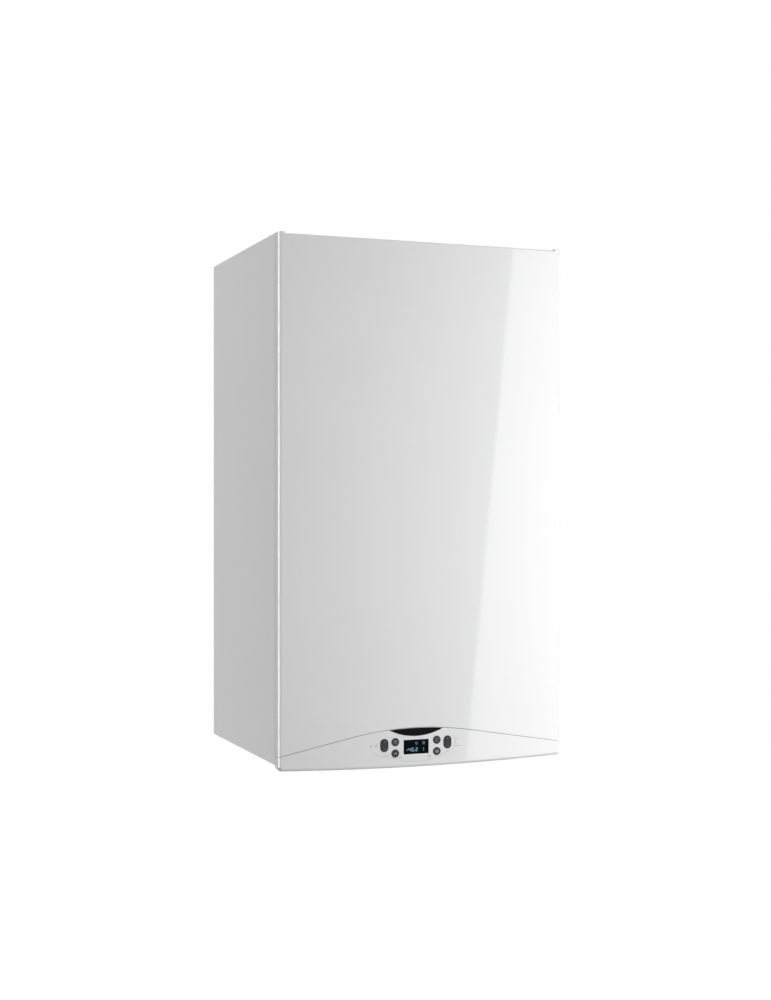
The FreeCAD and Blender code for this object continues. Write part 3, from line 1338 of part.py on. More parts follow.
def return_pipe():
    route = (
        ("2 * stub_pitch", f"-{PUMP_OUTLET}", "pump_level + outlet_rise - pipe_socket"),
        ("2 * stub_pitch", f"-{PUMP_OUTLET}", "return_turn_low"),
        ("ring_radius", f"-{RING_REAR}", "return_turn_high"),
        ("ring_radius", f"-{RING_REAR}", "drum_level - tail_drop + tail_overlap"),
    )
    return part("return_pipe", pipe(route, "pipe_radius", "pipe_wall", "pipe_bend"))


def flow_pipe():
    route = (
        ("-ring_radius", f"-{RING_FRONT}", "drum_level - tail_drop + tail_overlap"),
        ("-ring_radius", f"-{RING_FRONT}", "flow_turn_high"),
        ("-2 * stub_pitch", "-stub_set", "flow_turn_low"),
        ("-2 * stub_pitch", "-stub_set", "group_high - pipe_socket"),
    )
    return part("flow_pipe", pipe(route, "pipe_radius", "pipe_wall", "pipe_bend"))


def air_vent():
    top = "(vent_neck_height + vent_height)"
    profile = (
        ("0", "0"),
        ("vent_neck", "0"),
        ("vent_neck", "vent_neck_height"),
        ("vent_radius", "vent_neck_height"),
        ("vent_radius", f"{top} - vent_cone"),
        ("vent_radius - vent_cone", top),
        ("vent_cap", top),
        ("vent_cap", f"{top} + vent_cap_height"),
        ("0", f"{top} + vent_cap_height"),
    )
    return part("air_vent", turned(("2 * stub_pitch", "-stub_set", "group_high"), profile))


def diverter_motor():
    body = new_body(("-2 * stub_pitch", "-port_front", "cross_level"))
    face = sketch_on(body, FRONT_PLANE)
    side = "diverter_width / 2"
    rectangle(face, f"-{side}", "-diverter_height / 2", side, "diverter_height / 2")
    pad(body, face, "diverter_depth")
    round_edges(body, "diverter_round", lambda edge: near(middle(edge).y, "-diverter_depth / 2"))
    return part("diverter_motor", body)


def safety_valve():
    at = ("stub_pitch", "-port_front", "safety_level")
    shoulder = "(safety_neck_depth + safety_depth)"
    profile = (
        ("0", "0"),
        ("safety_neck", "0"),
        ("safety_neck", "safety_neck_depth"),
        ("safety_radius", "safety_neck_depth"),
        ("safety_radius", shoulder),
        ("spindle_radius", shoulder),
        ("spindle_radius", f"{shoulder} + spindle_length"),
        ("0", f"{shoulder} + spindle_length"),
    )
    outlet_at = ("stub_pitch", "-port_front - safety_neck_depth - safety_depth / 2", "safety_level")
    end_at = ("stub_pitch", "-port_front - safety_neck_depth - safety_depth / 2", "-discharge_drop")
    valve = union(
        turned(at, profile, "front"),
        rod(outlet_at, "discharge_pipe", "safety_level + discharge_drop", "down"),
        rod(end_at, "discharge_radius", "nozzle_length"),
    )
    bore = rod(end_at, "discharge_radius - discharge_wall", "safety_level + discharge_drop - safety_radius")
    return part("safety_valve", cut(valve, bore))


def knob_profile(radius, depth):
    """A grip with a waist and a blind hole for its spindle."""
    bore = "spindle_radius + spindle_play"
    return (
        (bore, "knob_gap"),
        (radius, "knob_gap"),
        (radius, f"knob_gap + {depth} / 4"),
        (f"{radius} - knob_groove", f"knob_gap + {depth} / 2"),
        (radius, f"knob_gap + 3 * {depth} / 4"),
        (radius, f"knob_gap + {depth}"),
        ("0", f"knob_gap + {depth}"),
        ("0", "2 * knob_gap + spindle_length"),
        (bore, "2 * knob_gap + spindle_length"),
    )


def safety_knob():
    at = ("stub_pitch", "-port_front - safety_neck_depth - safety_depth", "safety_level")
    return part("safety_knob", turned(at, knob_profile("knob_radius", "knob_depth"), "front"))


def filling_tap():
    """The tap's body on the return group, with its spindle down through the bottom plate."""
    top_at = ("filling_side", "-filling_set", "cross_level + filling_radius")
    arm_at = ("filling_side", "-port_front", "cross_level")
    spindle_at = ("filling_side", "-filling_set", "filling_low")
    tap = union(
        rod(top_at, "filling_radius", "cross_level + filling_radius - filling_low", "down"),
        rod(arm_at, "filling_arm", "filling_set - port_front", "front"),
        rod(spindle_at, "spindle_radius", "filling_spindle", "down"),
    )
    return part("filling_tap", tap)


def filling_knob():
    at = ("filling_side", "-filling_set", "filling_low - filling_spindle + spindle_length")
    profile = knob_profile("filling_knob_radius", "filling_knob_depth")
    return part("filling_knob", turned(at, profile, "down"))


# Control panel

def badge_outline(sketch, play):
    """A lens under the arch: its top follows the crown and its bottom hangs lower."""
    crown = f"(arch_radius - arch_gap / 2 - badge_inset + {play})"
    half = f"(badge_half + {BADGE_TIP_SHARE} * {play})"
    tip_level = f"arch_peak - arch_radius + sqrt({crown}^2 - {half}^2)"
    corners = ((f"-controls_shift - {half}", tip_level), (f"{half} - controls_shift", tip_level))
    top = f"arch_peak - arch_gap / 2 - badge_inset + {play}"
    loop(sketch, corners, {0: ("-controls_shift", f"badge_low - {play}"), 1: ("-controls_shift", top)})


def round_button_places():
    return [(side, level) for side in (-1, 1) for level in ("button_high", "button_low")]


def control_fascia():
    """A moulded shell: arched top, bowed chin, openings for the display and buttons, and posts behind."""
    body = new_body(("0", "-casing_depth", "0"))
    foot = "arch_end - arch_gap / 2"
    chin = ("0", "-chin_centre")
    face = sketch_on(body, FRONT_PLANE)
    corners = ((f"-{HALF}", foot), (f"-{HALF}", "-chin_end"), (HALF, "-chin_end"), (HALF, foot))
    arched(face, corners, "(-arch_gap / 2)", {1: chin})
    pad(body, face, "cover_return", backward=True)

    def chin_corner(edge):
        spot = middle(edge)
        return near(abs(spot.x), HALF) and near(spot.z, "-chin_end")

    def front_rim(edge):
        spot = middle(edge)
        return near(spot.y, "0") and (spot.z < 0 or near(abs(spot.x), HALF))

    round_edges(body, "chin_corner", chin_corner)
    round_edges(body, "edge_round", front_rim)
    hollow = sketch_on(body, FRONT_PLANE, "-cover_return")
    side = f"({HALF} - fascia_wall)"
    inner_foot = f"{foot} - fascia_wall"
    inner_chin = "fascia_wall - chin_end"
    inner_corners = (
        (f"-{side}", inner_foot),
        (f"-{side}", inner_chin),
        (side, inner_chin),
        (side, inner_foot),
    )
    arched(hollow, inner_corners, "(-arch_gap / 2 - fascia_wall)", {1: ("0", "fascia_wall - chin_centre")})
    pocket(body, hollow, "cover_return - fascia_wall", backward=True)
    openings = sketch_on(body, FRONT_PLANE)
    left = "(-controls_shift - display_width / 2)"
    low = "(display_level - display_height / 2)"
    rectangle(openings, left, low, f"{left} + display_width", f"{low} + display_height")
    for sign, level in round_button_places():
        circle(openings, (f"{sign} * button_spread - controls_shift", level), "button_radius + button_play")
    for sign in (-1, 1):
        x = f"({sign} * oval_spread - controls_shift)"
        pill(openings, x, "oval_level", "oval_width + 2 * button_play", "oval_height + 2 * button_play")
    pocket(body, openings, "fascia_wall + overrun")
    seat = sketch_on(body, FRONT_PLANE)
    badge_outline(seat, "badge_play")
    pocket(body, seat, "badge_depth")
    board_posts = sketch_on(body, FRONT_PLANE, "-fascia_wall / 2")
    for sign in (-1, 1):
        for level in ("post_low", "post_high"):
            circle(board_posts, (f"{sign} * post_spread - controls_shift", level), "post_radius")
    pad(body, board_posts, "board_set - fascia_wall / 2", backward=True)
    tray_posts = sketch_on(body, FRONT_PLANE, "-fascia_wall / 2")
    for sign in (-1, 1):
        for x in ("tray_post_near", "tray_post_far"):
            circle(tray_posts, (f"{sign} * {x}", "tray_post_level"), "tray_post")
    pad(body, tray_posts, "tray_set - fascia_wall / 2", backward=True)
    return part("control_fascia", body)


def badge_plate():
    body = new_body(("0", "-casing_depth", "0"))
    face = sketch_on(body, FRONT_PLANE, "-badge_depth")
    badge_outline(face, "0")
    pad(body, face, "badge_depth + badge_proud")
    return part("badge_plate", body)


def display_window():
    body = new_body(("-controls_shift", "-casing_depth", "display_level"))
    face = sketch_on(body, FRONT_PLANE, "-window_set - window_depth")
    side = "(display_width / 2 - window_play)"
    half = "(display_height / 2 - window_play)"
    rectangle(face, f"-{side}", f"-{half}", side, half)
    pad(body, face, "window_depth")
    return part("display_window", body)


def display_module():
    """The lit display between the window and its board."""
    width = "(display_width + 2 * module_rim)"
    height = "(display_height + 2 * module_rim)"
    at = (
        f"-controls_shift - {width} / 2",
        "fascia_wall + module_gap - casing_depth",
        f"display_level - {height} / 2",
    )
    return part("display_module", block(at, (width, "board_set - fascia_wall - module_gap", height)))


def display_board():
    """The board behind the fascia, with a switch under each button."""
    low = "-board_drop"
    at = ("-board_half - controls_shift", f"-{BOARD_FRONT}", low)
    pieces = [block(at, ("2 * board_half", "board_sheet", "board_high + board_drop"))]
    places = [(f"{sign} * button_spread", level) for sign, level in round_button_places()]
    places += [(f"{sign} * oval_spread", "oval_level") for sign in (-1, 1)]
    for x, level in places:
        switch_at = (
            f"{x} - controls_shift - switch_size / 2",
            f"-{BOARD_FRONT} - switch_height",
            f"{level} - switch_size / 2",
        )
        pieces.append(block(switch_at, ("switch_size", "switch_height", "switch_size")))
    return part("display_board", union(*pieces))


STEM_END = "(board_set - switch_height - switch_gap - button_travel)"
COLLAR_FRONT = "(fascia_wall + button_rest_gap)"


def round_button(label, sign, level):
    """A turned cap with a collar behind the fascia and a stem toward its switch; height counts forward."""
    profile = (
        ("0", f"-{STEM_END}"),
        ("stem_radius", f"-{STEM_END}"),
        ("stem_radius", f"-{COLLAR_FRONT} - button_collar_depth"),
        ("button_radius + button_collar", f"-{COLLAR_FRONT} - button_collar_depth"),
        ("button_radius + button_collar", f"-{COLLAR_FRONT}"),
        ("button_radius", f"-{COLLAR_FRONT}"),
        ("button_radius", "button_proud - button_edge"),
        ("button_radius - button_edge", "button_proud"),
        ("0", "button_proud"),
    )
    at = (f"{sign} * button_spread - controls_shift", "-casing_depth", level)
    return part(label, turned(at, profile, "front"))


def oval_button(label, sign):
    body = new_body((f"{sign} * oval_spread - controls_shift", "-casing_depth", "oval_level"))
    cap = sketch_on(body, FRONT_PLANE, f"-{COLLAR_FRONT} - button_collar_depth / 2")
    pill(cap, "0", "0", "oval_width", "oval_height")
    pad(body, cap, f"{COLLAR_FRONT} + button_collar_depth / 2 + button_proud")
    round_edges(body, "button_edge", lambda edge: near(middle(edge).y, "-button_proud"))
    collar = sketch_on(body, FRONT_PLANE, f"-{COLLAR_FRONT}")
    pill(collar, "0", "0", "oval_width + 2 * button_collar", "oval_height + 2 * button_collar")
    pad(body, collar, "button_collar_depth", backward=True)
    stem = sketch_on(body, FRONT_PLANE, f"-{COLLAR_FRONT}")
    circle(stem, ("0", "0"), "stem_radius")
    pad(body, stem, f"{STEM_END} - {COLLAR_FRONT}", backward=True)
    return part(label, body)


def control_tray():
    """An open tray behind the fascia, with posts for its board and a hole for each hinge pin."""
    at = (f"-{TRAY_HALF}", f"-{TRAY_FRONT}", "0")
    inner_at = (f"tray_wall - {TRAY_HALF}", f"tray_wall - {TRAY_FRONT}", "tray_wall")
    outer = block(at, (f"2 * {TRAY_HALF}", "tray_depth", "tray_height"))
    inner_size = (f"2 * {TRAY_HALF} - 2 * tray_wall", "tray_depth - 2 * tray_wall", "tray_height")
    hollow = block(inner_at, inner_size)
    hinge_at = (f"-{TRAY_HALF} - overrun", f"-{HINGE_SET}", "hinge_level")
    hinge_hole = rod(hinge_at, "hinge_radius + hinge_play", f"2 * {TRAY_HALF} + 2 * overrun", "right")
    posts = []
    for x in ("board_post_set - main_board_width / 2", "main_board_width / 2 - board_post_set"):
        for y in ("board_post_set - main_board_depth / 2", "main_board_depth / 2 - board_post_set"):
            post_at = (x, f"{y} - {TRAY_FRONT} + tray_depth / 2", "tray_wall / 2")
            posts.append(rod(post_at, "board_post", "main_board_lift - tray_wall / 2"))
    return part("control_tray", union(cut(outer, hollow, hinge_hole), *posts))


def tray_lid():
    body = new_body(("0", f"tray_depth / 2 - {TRAY_FRONT}", "tray_height"))
    plan = sketch_on(body, PLAN)
    rectangle(plan, f"-{TRAY_HALF}", "-tray_depth / 2", TRAY_HALF, "tray_depth / 2")
    pad(body, plan, "lid_sheet")
    slot = sketch_on(body, PLAN, "lid_sheet")
    span = f"(lid_slot_pitch * {LID_SLOT_COUNT - 1})"
    left = f"-{span} / 2 - lid_slot_width / 2"
    rectangle(slot, left, "-lid_slot_length / 2", f"{left} + lid_slot_width", "lid_slot_length / 2")
    along(body, pocket(body, slot, "lid_sheet"), "X_Axis", span, LID_SLOT_COUNT)
    return part("tray_lid", body)


def main_board():
    """The main board with its transformer, relays, capacitor and socket row."""
    middle_set = f"(tray_depth / 2 - {TRAY_FRONT})"
    left = "(-main_board_width / 2)"
    front = f"({middle_set} - main_board_depth / 2)"
    back = f"({middle_set} + main_board_depth / 2)"
    pieces = [
        block((left, front, "main_board_lift"), ("main_board_width", "main_board_depth", "board_sheet")),
        block(
            (f"{left} + component_edge", f"{front} + component_edge", MAIN_BOARD_TOP),
            ("transformer_width", "transformer_depth", "transformer_height"),
        ),
        block(
            ("-socket_row_width / 2", f"{back} - component_edge - socket_row_depth", MAIN_BOARD_TOP),
            ("socket_row_width", "socket_row_depth", "socket_row_height"),
        ),
        rod(
            ("main_board_width / 2 - component_edge - capacitor_radius", middle_set, MAIN_BOARD_TOP),
            "capacitor_radius",
            "capacitor_height",
        ),
    ]
    for i in range(RELAY_COUNT):
        at = (f"relay_pitch * {i}", f"{front} + component_edge", MAIN_BOARD_TOP)
        pieces.append(block(at, ("relay_width", "relay_depth", "relay_height")))
    return part("main_board", union(*pieces))


def panel_hinge_pins():
    """A flanged pin on each side panel, reaching through the tray's side wall."""
    profile = (
        ("0", "0"),
        ("hinge_flange", "0"),
        ("hinge_flange", "hinge_flange_depth"),
        ("hinge_radius", "hinge_flange_depth"),
        ("hinge_radius", "hinge_length"),
        ("0", "hinge_length"),
    )
    pins = (
        turned((f"-{INNER}", f"-{HINGE_SET}", "hinge_level"), profile, "right"),
        turned((INNER, f"-{HINGE_SET}", "hinge_level"), profile, "left"),
    )
    return part("panel_hinge_pins", group(*pins))


def build():
    wall_bracket()
    rear_panel()
    side_panel("left_side_panel", -1)
    side_panel("right_side_panel", 1)
    top_panel()
    bottom_plate()
    mounting_frame()
    cover_studs()
    front_cover()
    cover_clips()
    flue_collar()
    flue_duct()
    exchanger_drum()
    exchanger_rings()
    door_gasket()
    burner_door()
    door_bolts()
    burner_tube()
    electrodes()
    mixture_duct()
    fan_housing()
    fan_motor()
    fan_impeller()
    venturi()
    air_intake()
    gas_valve()
    gas_feed_tube()
    gas_supply_pipe()
    condensate_trap()
    expansion_vessel()
    vessel_pipe()
    flow_group()
    return_group()
    plate_exchanger()
    pump_body()
    pump_motor()
    pump_rotor()
    return_pipe()
    flow_pipe()
    air_vent()
    diverter_motor()
    safety_valve()
    safety_knob()
    filling_tap()
    filling_knob()
    control_fascia()
    badge_plate()
    display_window()
    display_module()
    display_board()
    round_button("button_left_upper", -1, "button_high")
    round_button("button_left_lower", -1, "button_low")
    round_button("button_right_upper", 1, "button_high")
    round_button("button_right_lower", 1, "button_low")
    oval_button("oval_button_left", -1)
    oval_button("oval_button_right", 1)
    control_tray()
    tray_lid()
    main_board()
    panel_hinge_pins()


def check():
    """Stops on a failed feature, a cut that took nothing away, or a bad shape."""
    doc.recompute()
    for thing in doc.Objects:
        if {"Invalid", "Error"} & set(thing.State):
            raise ValueError(f"{thing.Name} failed: {thing.State}")
        if thing.TypeId == "PartDesign::Pocket" and thing.Shape.Volume >= thing.BaseFeature.Shape.Volume:
            raise ValueError(f"{thing.Name} cuts nothing")
        if thing.TypeId == "Part::Cut" and thing.Shape.Volume >= thing.Base.Shape.Volume:
            raise ValueError(f"{thing.Name} cuts nothing")
    for thing in parts:
        if thing.Shape.isNull() or not thing.Shape.isValid():
            raise ValueError(f"{thing.Label} has a bad shape")


build()
check()
os.makedirs("parts", exist_ok=True)
for finished in parts:
    finished.Shape.exportStep(f"parts/{finished.Label}.step")
print(f"{len(parts)} sub-parts written")
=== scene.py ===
"""Wall-hung boiler: materials, printed marks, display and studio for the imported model."""
import json
import math

import bmesh
import bpy
from mathutils import Matrix, Vector


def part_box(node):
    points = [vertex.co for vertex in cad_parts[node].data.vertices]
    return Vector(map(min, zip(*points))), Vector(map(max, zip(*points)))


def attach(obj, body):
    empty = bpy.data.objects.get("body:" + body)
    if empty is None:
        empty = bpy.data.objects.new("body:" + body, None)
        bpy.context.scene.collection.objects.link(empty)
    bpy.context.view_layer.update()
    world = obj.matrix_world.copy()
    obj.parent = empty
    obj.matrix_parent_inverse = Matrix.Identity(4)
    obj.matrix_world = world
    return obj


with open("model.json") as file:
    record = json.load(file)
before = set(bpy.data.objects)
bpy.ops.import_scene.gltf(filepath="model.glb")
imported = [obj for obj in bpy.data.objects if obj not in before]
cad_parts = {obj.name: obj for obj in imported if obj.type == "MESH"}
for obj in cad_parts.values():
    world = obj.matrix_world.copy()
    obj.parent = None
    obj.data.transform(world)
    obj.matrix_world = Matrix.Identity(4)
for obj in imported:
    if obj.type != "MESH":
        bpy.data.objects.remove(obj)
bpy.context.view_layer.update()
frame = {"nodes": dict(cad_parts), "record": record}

nodes = frame["nodes"]

MM = 0.001
FULL_TURN = 2 * math.pi
FORWARD = (0, -1, 0)
UP = (0, 0, 1)
DOWN = (0, 0, -1)

FRONT = -0.319         # the casing's front plane
BASE = -0.635          # the casing's bottom edge
BUTTON_RISE = 0.001    # how far the buttons stand proud of the front plane
UNION_TOP = 0.008      # where the gas pipe's union ends, above the bottom edge


# Materials

NOISE_LOW, NOISE_HIGH = 0.3, 0.7    # the range that most of a noise texture's values lie in

WHITE = (0.77, 0.77, 0.775)
BRASS = (0.72, 0.52, 0.22)
COPPER = (0.78, 0.36, 0.20)


def add_node(tree, kind, values=None, links=None, **settings):
    """A new shader node with its settings, the values of its inputs, and the links into them."""
    node = tree.nodes.new("ShaderNode" + kind)
    for name, setting in settings.items():
        setattr(node, name, setting)
    for name, value in (values or {}).items():
        node.inputs[name].default_value = value
    for name, source in (links or {}).items():
        tree.links.new(source, node.inputs[name])
    return node


def shade(colour, factor):
    return tuple(min(1.0, channel * factor) for channel in colour)


class Finish:
    """A material with its node tree and shader, and the object's own coordinates in metres."""

    def __init__(self, name, colour, roughness, metallic=0.0):
        self.colour = colour
        self.roughness = roughness
        self.material = bpy.data.materials.new(name)
        self.material.use_nodes = True
        self.tree = self.material.node_tree
        self.inputs = self.tree.nodes["Principled BSDF"].inputs
        self.inputs["Base Color"].default_value = (*colour, 1)
        self.inputs["Roughness"].default_value = roughness
        self.inputs["Metallic"].default_value = metallic
        self.place = self.node("TexCoord").outputs["Object"]

    def node(self, kind, values=None, links=None, **settings):
        return add_node(self.tree, kind, values, links, **settings)

    def feed(self, name, source):
        """Links a node's output to one of the shader's inputs."""
        self.tree.links.new(source, self.inputs[name])

    def noise(self, scale, detail, place=None):
        values = {"Scale": scale, "Detail": detail}
        return self.node("TexNoise", values, {"Vector": place or self.place}).outputs["Fac"]

    def tint(self, value, dark, light):
        """A colour between dark and light by a texture's value."""
        values = {"A": (*dark, 1), "B": (*light, 1)}
        return self.node("Mix", values, {"Factor": value}, data_type="RGBA").outputs["Result"]

    def vary_colour(self, value, dark, light):
        """Moves the colour between two shares of itself by a texture's value."""
        colour = self.tint(value, shade(self.colour, dark), shade(self.colour, light))
        self.feed("Base Color", colour)

    def vary_roughness(self, value, smooth, rough):
        """Moves the roughness between two shares of itself by a texture's value."""
        span = {
            "From Min": NOISE_LOW,
            "From Max": NOISE_HIGH,
            "To Min": self.roughness * smooth,
            "To Max": self.roughness * rough,
        }
        self.feed("Roughness", self.node("MapRange", span, {"Value": value}).outputs["Result"])

    def bump(self, height, strength, depth):
        values = {"Strength": strength, "Distance": depth}
        self.feed("Normal", self.node("Bump", values, {"Height": height}).outputs["Normal"])


def paint(name, colour, roughness, ripple=0.02, grain=900):
    """Smooth paint: a faint orange peel, and a little cloudiness in colour and gloss."""
    finish = Finish(name, colour, roughness)
    cloud = finish.noise(scale=9, detail=2)
    finish.vary_colour(cloud, dark=0.985, light=1.015)
    finish.vary_roughness(cloud, smooth=0.9, rough=1.12)
    finish.bump(finish.noise(grain, detail=2), ripple, depth=0.0002)
    return finish


def enamel(name, colour, roughness, ripple=0.02, grain=900):
    """Stoved paint: a soft sheen under a clear hard gloss that mirrors the soft box."""
    finish = paint(name, colour, roughness, ripple, grain)
    finish.inputs["Specular IOR Level"].default_value = 0.3
    finish.inputs["Coat Weight"].default_value = 1.0
    finish.inputs["Coat Roughness"].default_value = 0.032
    return finish


def dull(finish):
    """Little mirror gloss, so that a dark finish stays dark among white surroundings."""
    finish.inputs["Specular IOR Level"].default_value = 0.04
    return finish


def moulding(name, colour, roughness, grain=1400, strength=0.12):
    """Moulded plastic with a fine spark-eroded grain."""
    finish = Finish(name, colour, roughness)
    texture = finish.noise(grain, detail=4)
    cloud = finish.noise(scale=30, detail=3)
    finish.vary_colour(cloud, dark=0.93, light=1.07)
    finish.vary_roughness(texture, smooth=0.85, rough=1.15)
    finish.bump(texture, strength, depth=0.0001)
    return finish


def brushed(name, colour, roughness, stretch, strength):
    """Drawn or brushed metal with streaks, as close along each axis as stretch says."""
    finish = Finish(name, colour, roughness, metallic=1.0)
    along = finish.node("Mapping", {"Scale": stretch}, {"Vector": finish.place}).outputs["Vector"]
    streaks = finish.noise(scale=1.0, detail=4, place=along)
    cloud = finish.noise(scale=18, detail=3)
    finish.vary_colour(cloud, dark=0.86, light=1.08)
    finish.vary_roughness(streaks, smooth=0.75, rough=1.3)
    finish.bump(streaks, strength, depth=0.0002)
    return finish


def cast(name, colour, roughness, grain=500, strength=0.35):
    """Sand-cast metal: a coarse skin with darker hollows."""
    finish = Finish(name, colour, roughness, metallic=1.0)
    skin = finish.noise(grain, detail=5)
    finish.vary_colour(skin, dark=0.7, light=1.1)
    finish.vary_roughness(skin, smooth=0.8, rough=1.25)
    finish.bump(skin, strength, depth=0.0004)
    return finish


def spangle(name, colour):
    """Hot-dip zinc: flat crystals of differing tone."""
    finish = Finish(name, colour, roughness=0.4, metallic=1.0)
    cells = finish.node("TexVoronoi", {"Scale": 130}, {"Vector": finish.place})
    tone = finish.node("SeparateColor", links={"Color": cells.outputs["Color"]})
    finish.vary_colour(tone.outputs["Red"], dark=0.93, light=1.05)
    finish.vary_roughness(tone.outputs["Green"], smooth=0.9, rough=1.15)
    finish.bump(finish.noise(scale=260, detail=3), strength=0.08, depth=0.0003)
    return finish


def copper_tube(name):
    """Drawn copper, faintly clouded."""
    return brushed(name, COPPER, 0.28, stretch=(45, 45, 45), strength=0.015)


def tube_on_union(name, joint):
    """Copper tube that ends in a cast brass union below the height joint."""
    finish = copper_tube(name)
    tube_colour = finish.inputs["Base Color"].links[0].from_socket
    skin = finish.noise(scale=420, detail=4)
    union_colour = finish.tint(skin, shade(BRASS, 0.72), shade(BRASS, 1.1))
    height = finish.node("SeparateXYZ", links={"Vector": finish.place}).outputs["Z"]
    below = finish.node("Math", {1: joint}, {0: height}, operation="LESS_THAN").outputs[0]
    colours = {"Factor": below, "A": tube_colour, "B": union_colour}
    mix = finish.node("Mix", links=colours, data_type="RGBA")
    finish.feed("Base Color", mix.outputs["Result"])
    return finish


def circuit(name):
    """Solder mask over a grid of tracks and pads."""
    finish = Finish(name, (0.03, 0.16, 0.07), roughness=0.35)
    grid = {
        "Scale": 120,
        "Color1": (0.02, 0.13, 0.05, 1),
        "Color2": (0.03, 0.18, 0.08, 1),
        "Mortar": (0.07, 0.30, 0.14, 1),
        "Mortar Size": 0.03,
    }
    tracks = finish.node("TexBrick", grid, {"Vector": finish.place})
    finish.feed("Base Color", tracks.outputs["Color"])
    finish.bump(tracks.outputs["Fac"], strength=0.2, depth=0.0001)
    return finish


def lit(name, colour, strength):
    """A lit display segment, a little uneven across its face."""
    finish = Finish(name, shade(colour, 0.25), roughness=0.5)
    grain = finish.noise(scale=700, detail=2)
    finish.feed("Emission Color", finish.tint(grain, shade(colour, 0.8), shade(colour, 1.15)))
    finish.inputs["Emission Strength"].default_value = strength
    return finish


def glass(name):
    """The display's dark window, with a trace of dust in its gloss."""
    finish = Finish(name, (0.002, 0.0036, 0.006), roughness=0.08)
    smear = finish.noise(scale=160, detail=4)
    finish.vary_roughness(smear, smooth=0.75, rough=1.75)
    finish.vary_colour(smear, dark=0.5, light=1.0)
    return dull(finish)


finishes = {
    "white_steel": enamel("white_paint", WHITE, 0.4),
    "fascia_white": enamel("white_moulding", WHITE, 0.45, ripple=0.03, grain=1300),
    "badge_black": dull(paint("black_gloss", (0.005, 0.005, 0.006), 0.2, ripple=0.01)),
    "button_grey": dull(moulding("button_plastic", (0.055, 0.055, 0.058), 0.45)),
    "display_glass": glass("display_glass"),
    "display_lit": moulding("display_back", (0.01, 0.014, 0.02), 0.4),
    "board_green": circuit("circuit_board"),
    "tray_grey": moulding("grey_plastic", (0.33, 0.34, 0.35), 0.5),
    "black_plastic": moulding("black_plastic", (0.018, 0.018, 0.02), 0.45),
    "galvanised": spangle("galvanised_sheet", (0.62, 0.64, 0.66)),
    "stainless": brushed("stainless_steel", (0.47, 0.47, 0.465), 0.45, (30, 30, 500), 0.012),
    "cast_aluminium": cast("cast_aluminium", (0.44, 0.45, 0.47), 0.55),
    "brass": cast("cast_brass", BRASS, 0.34, grain=420, strength=0.3),
    "copper": copper_tube("copper_tube"),
    "vessel_red": paint("red_paint", (0.42, 0.025, 0.02), 0.3, ripple=0.15, grain=500),
    "motor_dark": moulding("motor_paint", (0.03, 0.035, 0.04), 0.38, grain=700),
    "gasket": moulding("gasket_rubber", (0.02, 0.02, 0.02), 0.7, grain=600, strength=0.3),
    "ceramic_white": paint("ceramic", (0.78, 0.76, 0.70), 0.25, ripple=0.05),
    "knob_red": moulding("red_plastic", (0.45, 0.02, 0.02), 0.4),
    "knob_blue": moulding("blue_plastic", (0.02, 0.07, 0.36), 0.4),
}
materials = {slot: finish.material for slot, finish in finishes.items()}
slots = {entry["node"]: entry["material_slot"] for entry in frame["record"]["subparts"]}
for name, thing in nodes.items():
    thing.data.materials.clear()
    thing.data.materials.append(materials[slots[name]])
gas_tube = tube_on_union("gas_tube", BASE + UNION_TOP).material
nodes["gas_supply_pipe"].data.materials[0] = gas_tube

button_face = moulding("button_print", (0.55, 0.55, 0.56), 0.5).material
button_dim = moulding("button_rim", (0.13, 0.13, 0.135), 0.5).material
print_grey = moulding("printed_grey", (0.40, 0.40, 0.42), 0.5).material
print_faint = moulding("printed_faint", (0.50, 0.50, 0.52), 0.5).material
display_blue = lit("display_blue", (0.12, 0.34, 0.44), 0.9).material
display_dim = lit("display_dim", (0.11, 0.26, 0.32), 0.7).material


# Pieces, and the places they take from the frame

def new_piece(name, shape, material, body):
    """A piece made from a filled bmesh, with a material, riding on a body."""
    bmesh.ops.recalc_face_normals(shape, faces=shape.faces)
    mesh = bpy.data.meshes.new(name)
    shape.to_mesh(mesh)
    shape.free()
    mesh.materials.append(material)
    piece = bpy.data.objects.new(name, mesh)
    bpy.context.collection.objects.link(piece)
    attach(piece, body)


def middle(node):
    """The x and z of the middle of a node's box."""
    low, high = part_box(node)
    return (low.x + high.x) / 2, (low.z + high.z) / 2


def band(shape, ring, following):
    """Faces from one closed ring of vertices to the next."""
    for i in range(len(ring)):
        j = (i + 1) % len(ring)
        shape.faces.new((ring[i], ring[j], following[j], following[i]))


# Printed and lit marks: thin plates on a face, with outlines in millimetres about a place

MARK_DEPTH = 0.00008
DOT_STEPS = 10
FINE_STROKE = 0.5
ICON_STROKE = 0.55
SIGN_STROKE = 0.6
PRINT_STROKE = 0.7
HEAVY_STROKE = 0.8

RIM_RADIUS = 4.15      # the pale rim printed on each round button
RIM_STROKE = 0.3
RIM_STEPS = 28
LENS_STROKE = 0.4      # the long curve under the whole group of controls
LENS_STEPS = 40
LIST_LEFT = 42.5       # where the printed list beside the right oval button starts
LIST_STROKE = 0.9      # the list's last line

FIGURE_WIDTH = 2.5
FIGURE_HEIGHT = 4.0
FIGURE_BASE = -5.6
SEGMENT_TRIM = 0.62    # the share of a stroke that a segment stops short of its corner
SEGMENTS = {
    "a": (0, 2, 1, 2), "b": (1, 1, 1, 2), "c": (1, 0, 1, 1), "d": (0, 0, 1, 0),
    "e": (0, 0, 0, 1), "f": (0, 1, 0, 2), "g": (0, 1, 1, 1),
}
DIGITS = {"0": "abcdef", "2": "abged", "4": "fgbc"}


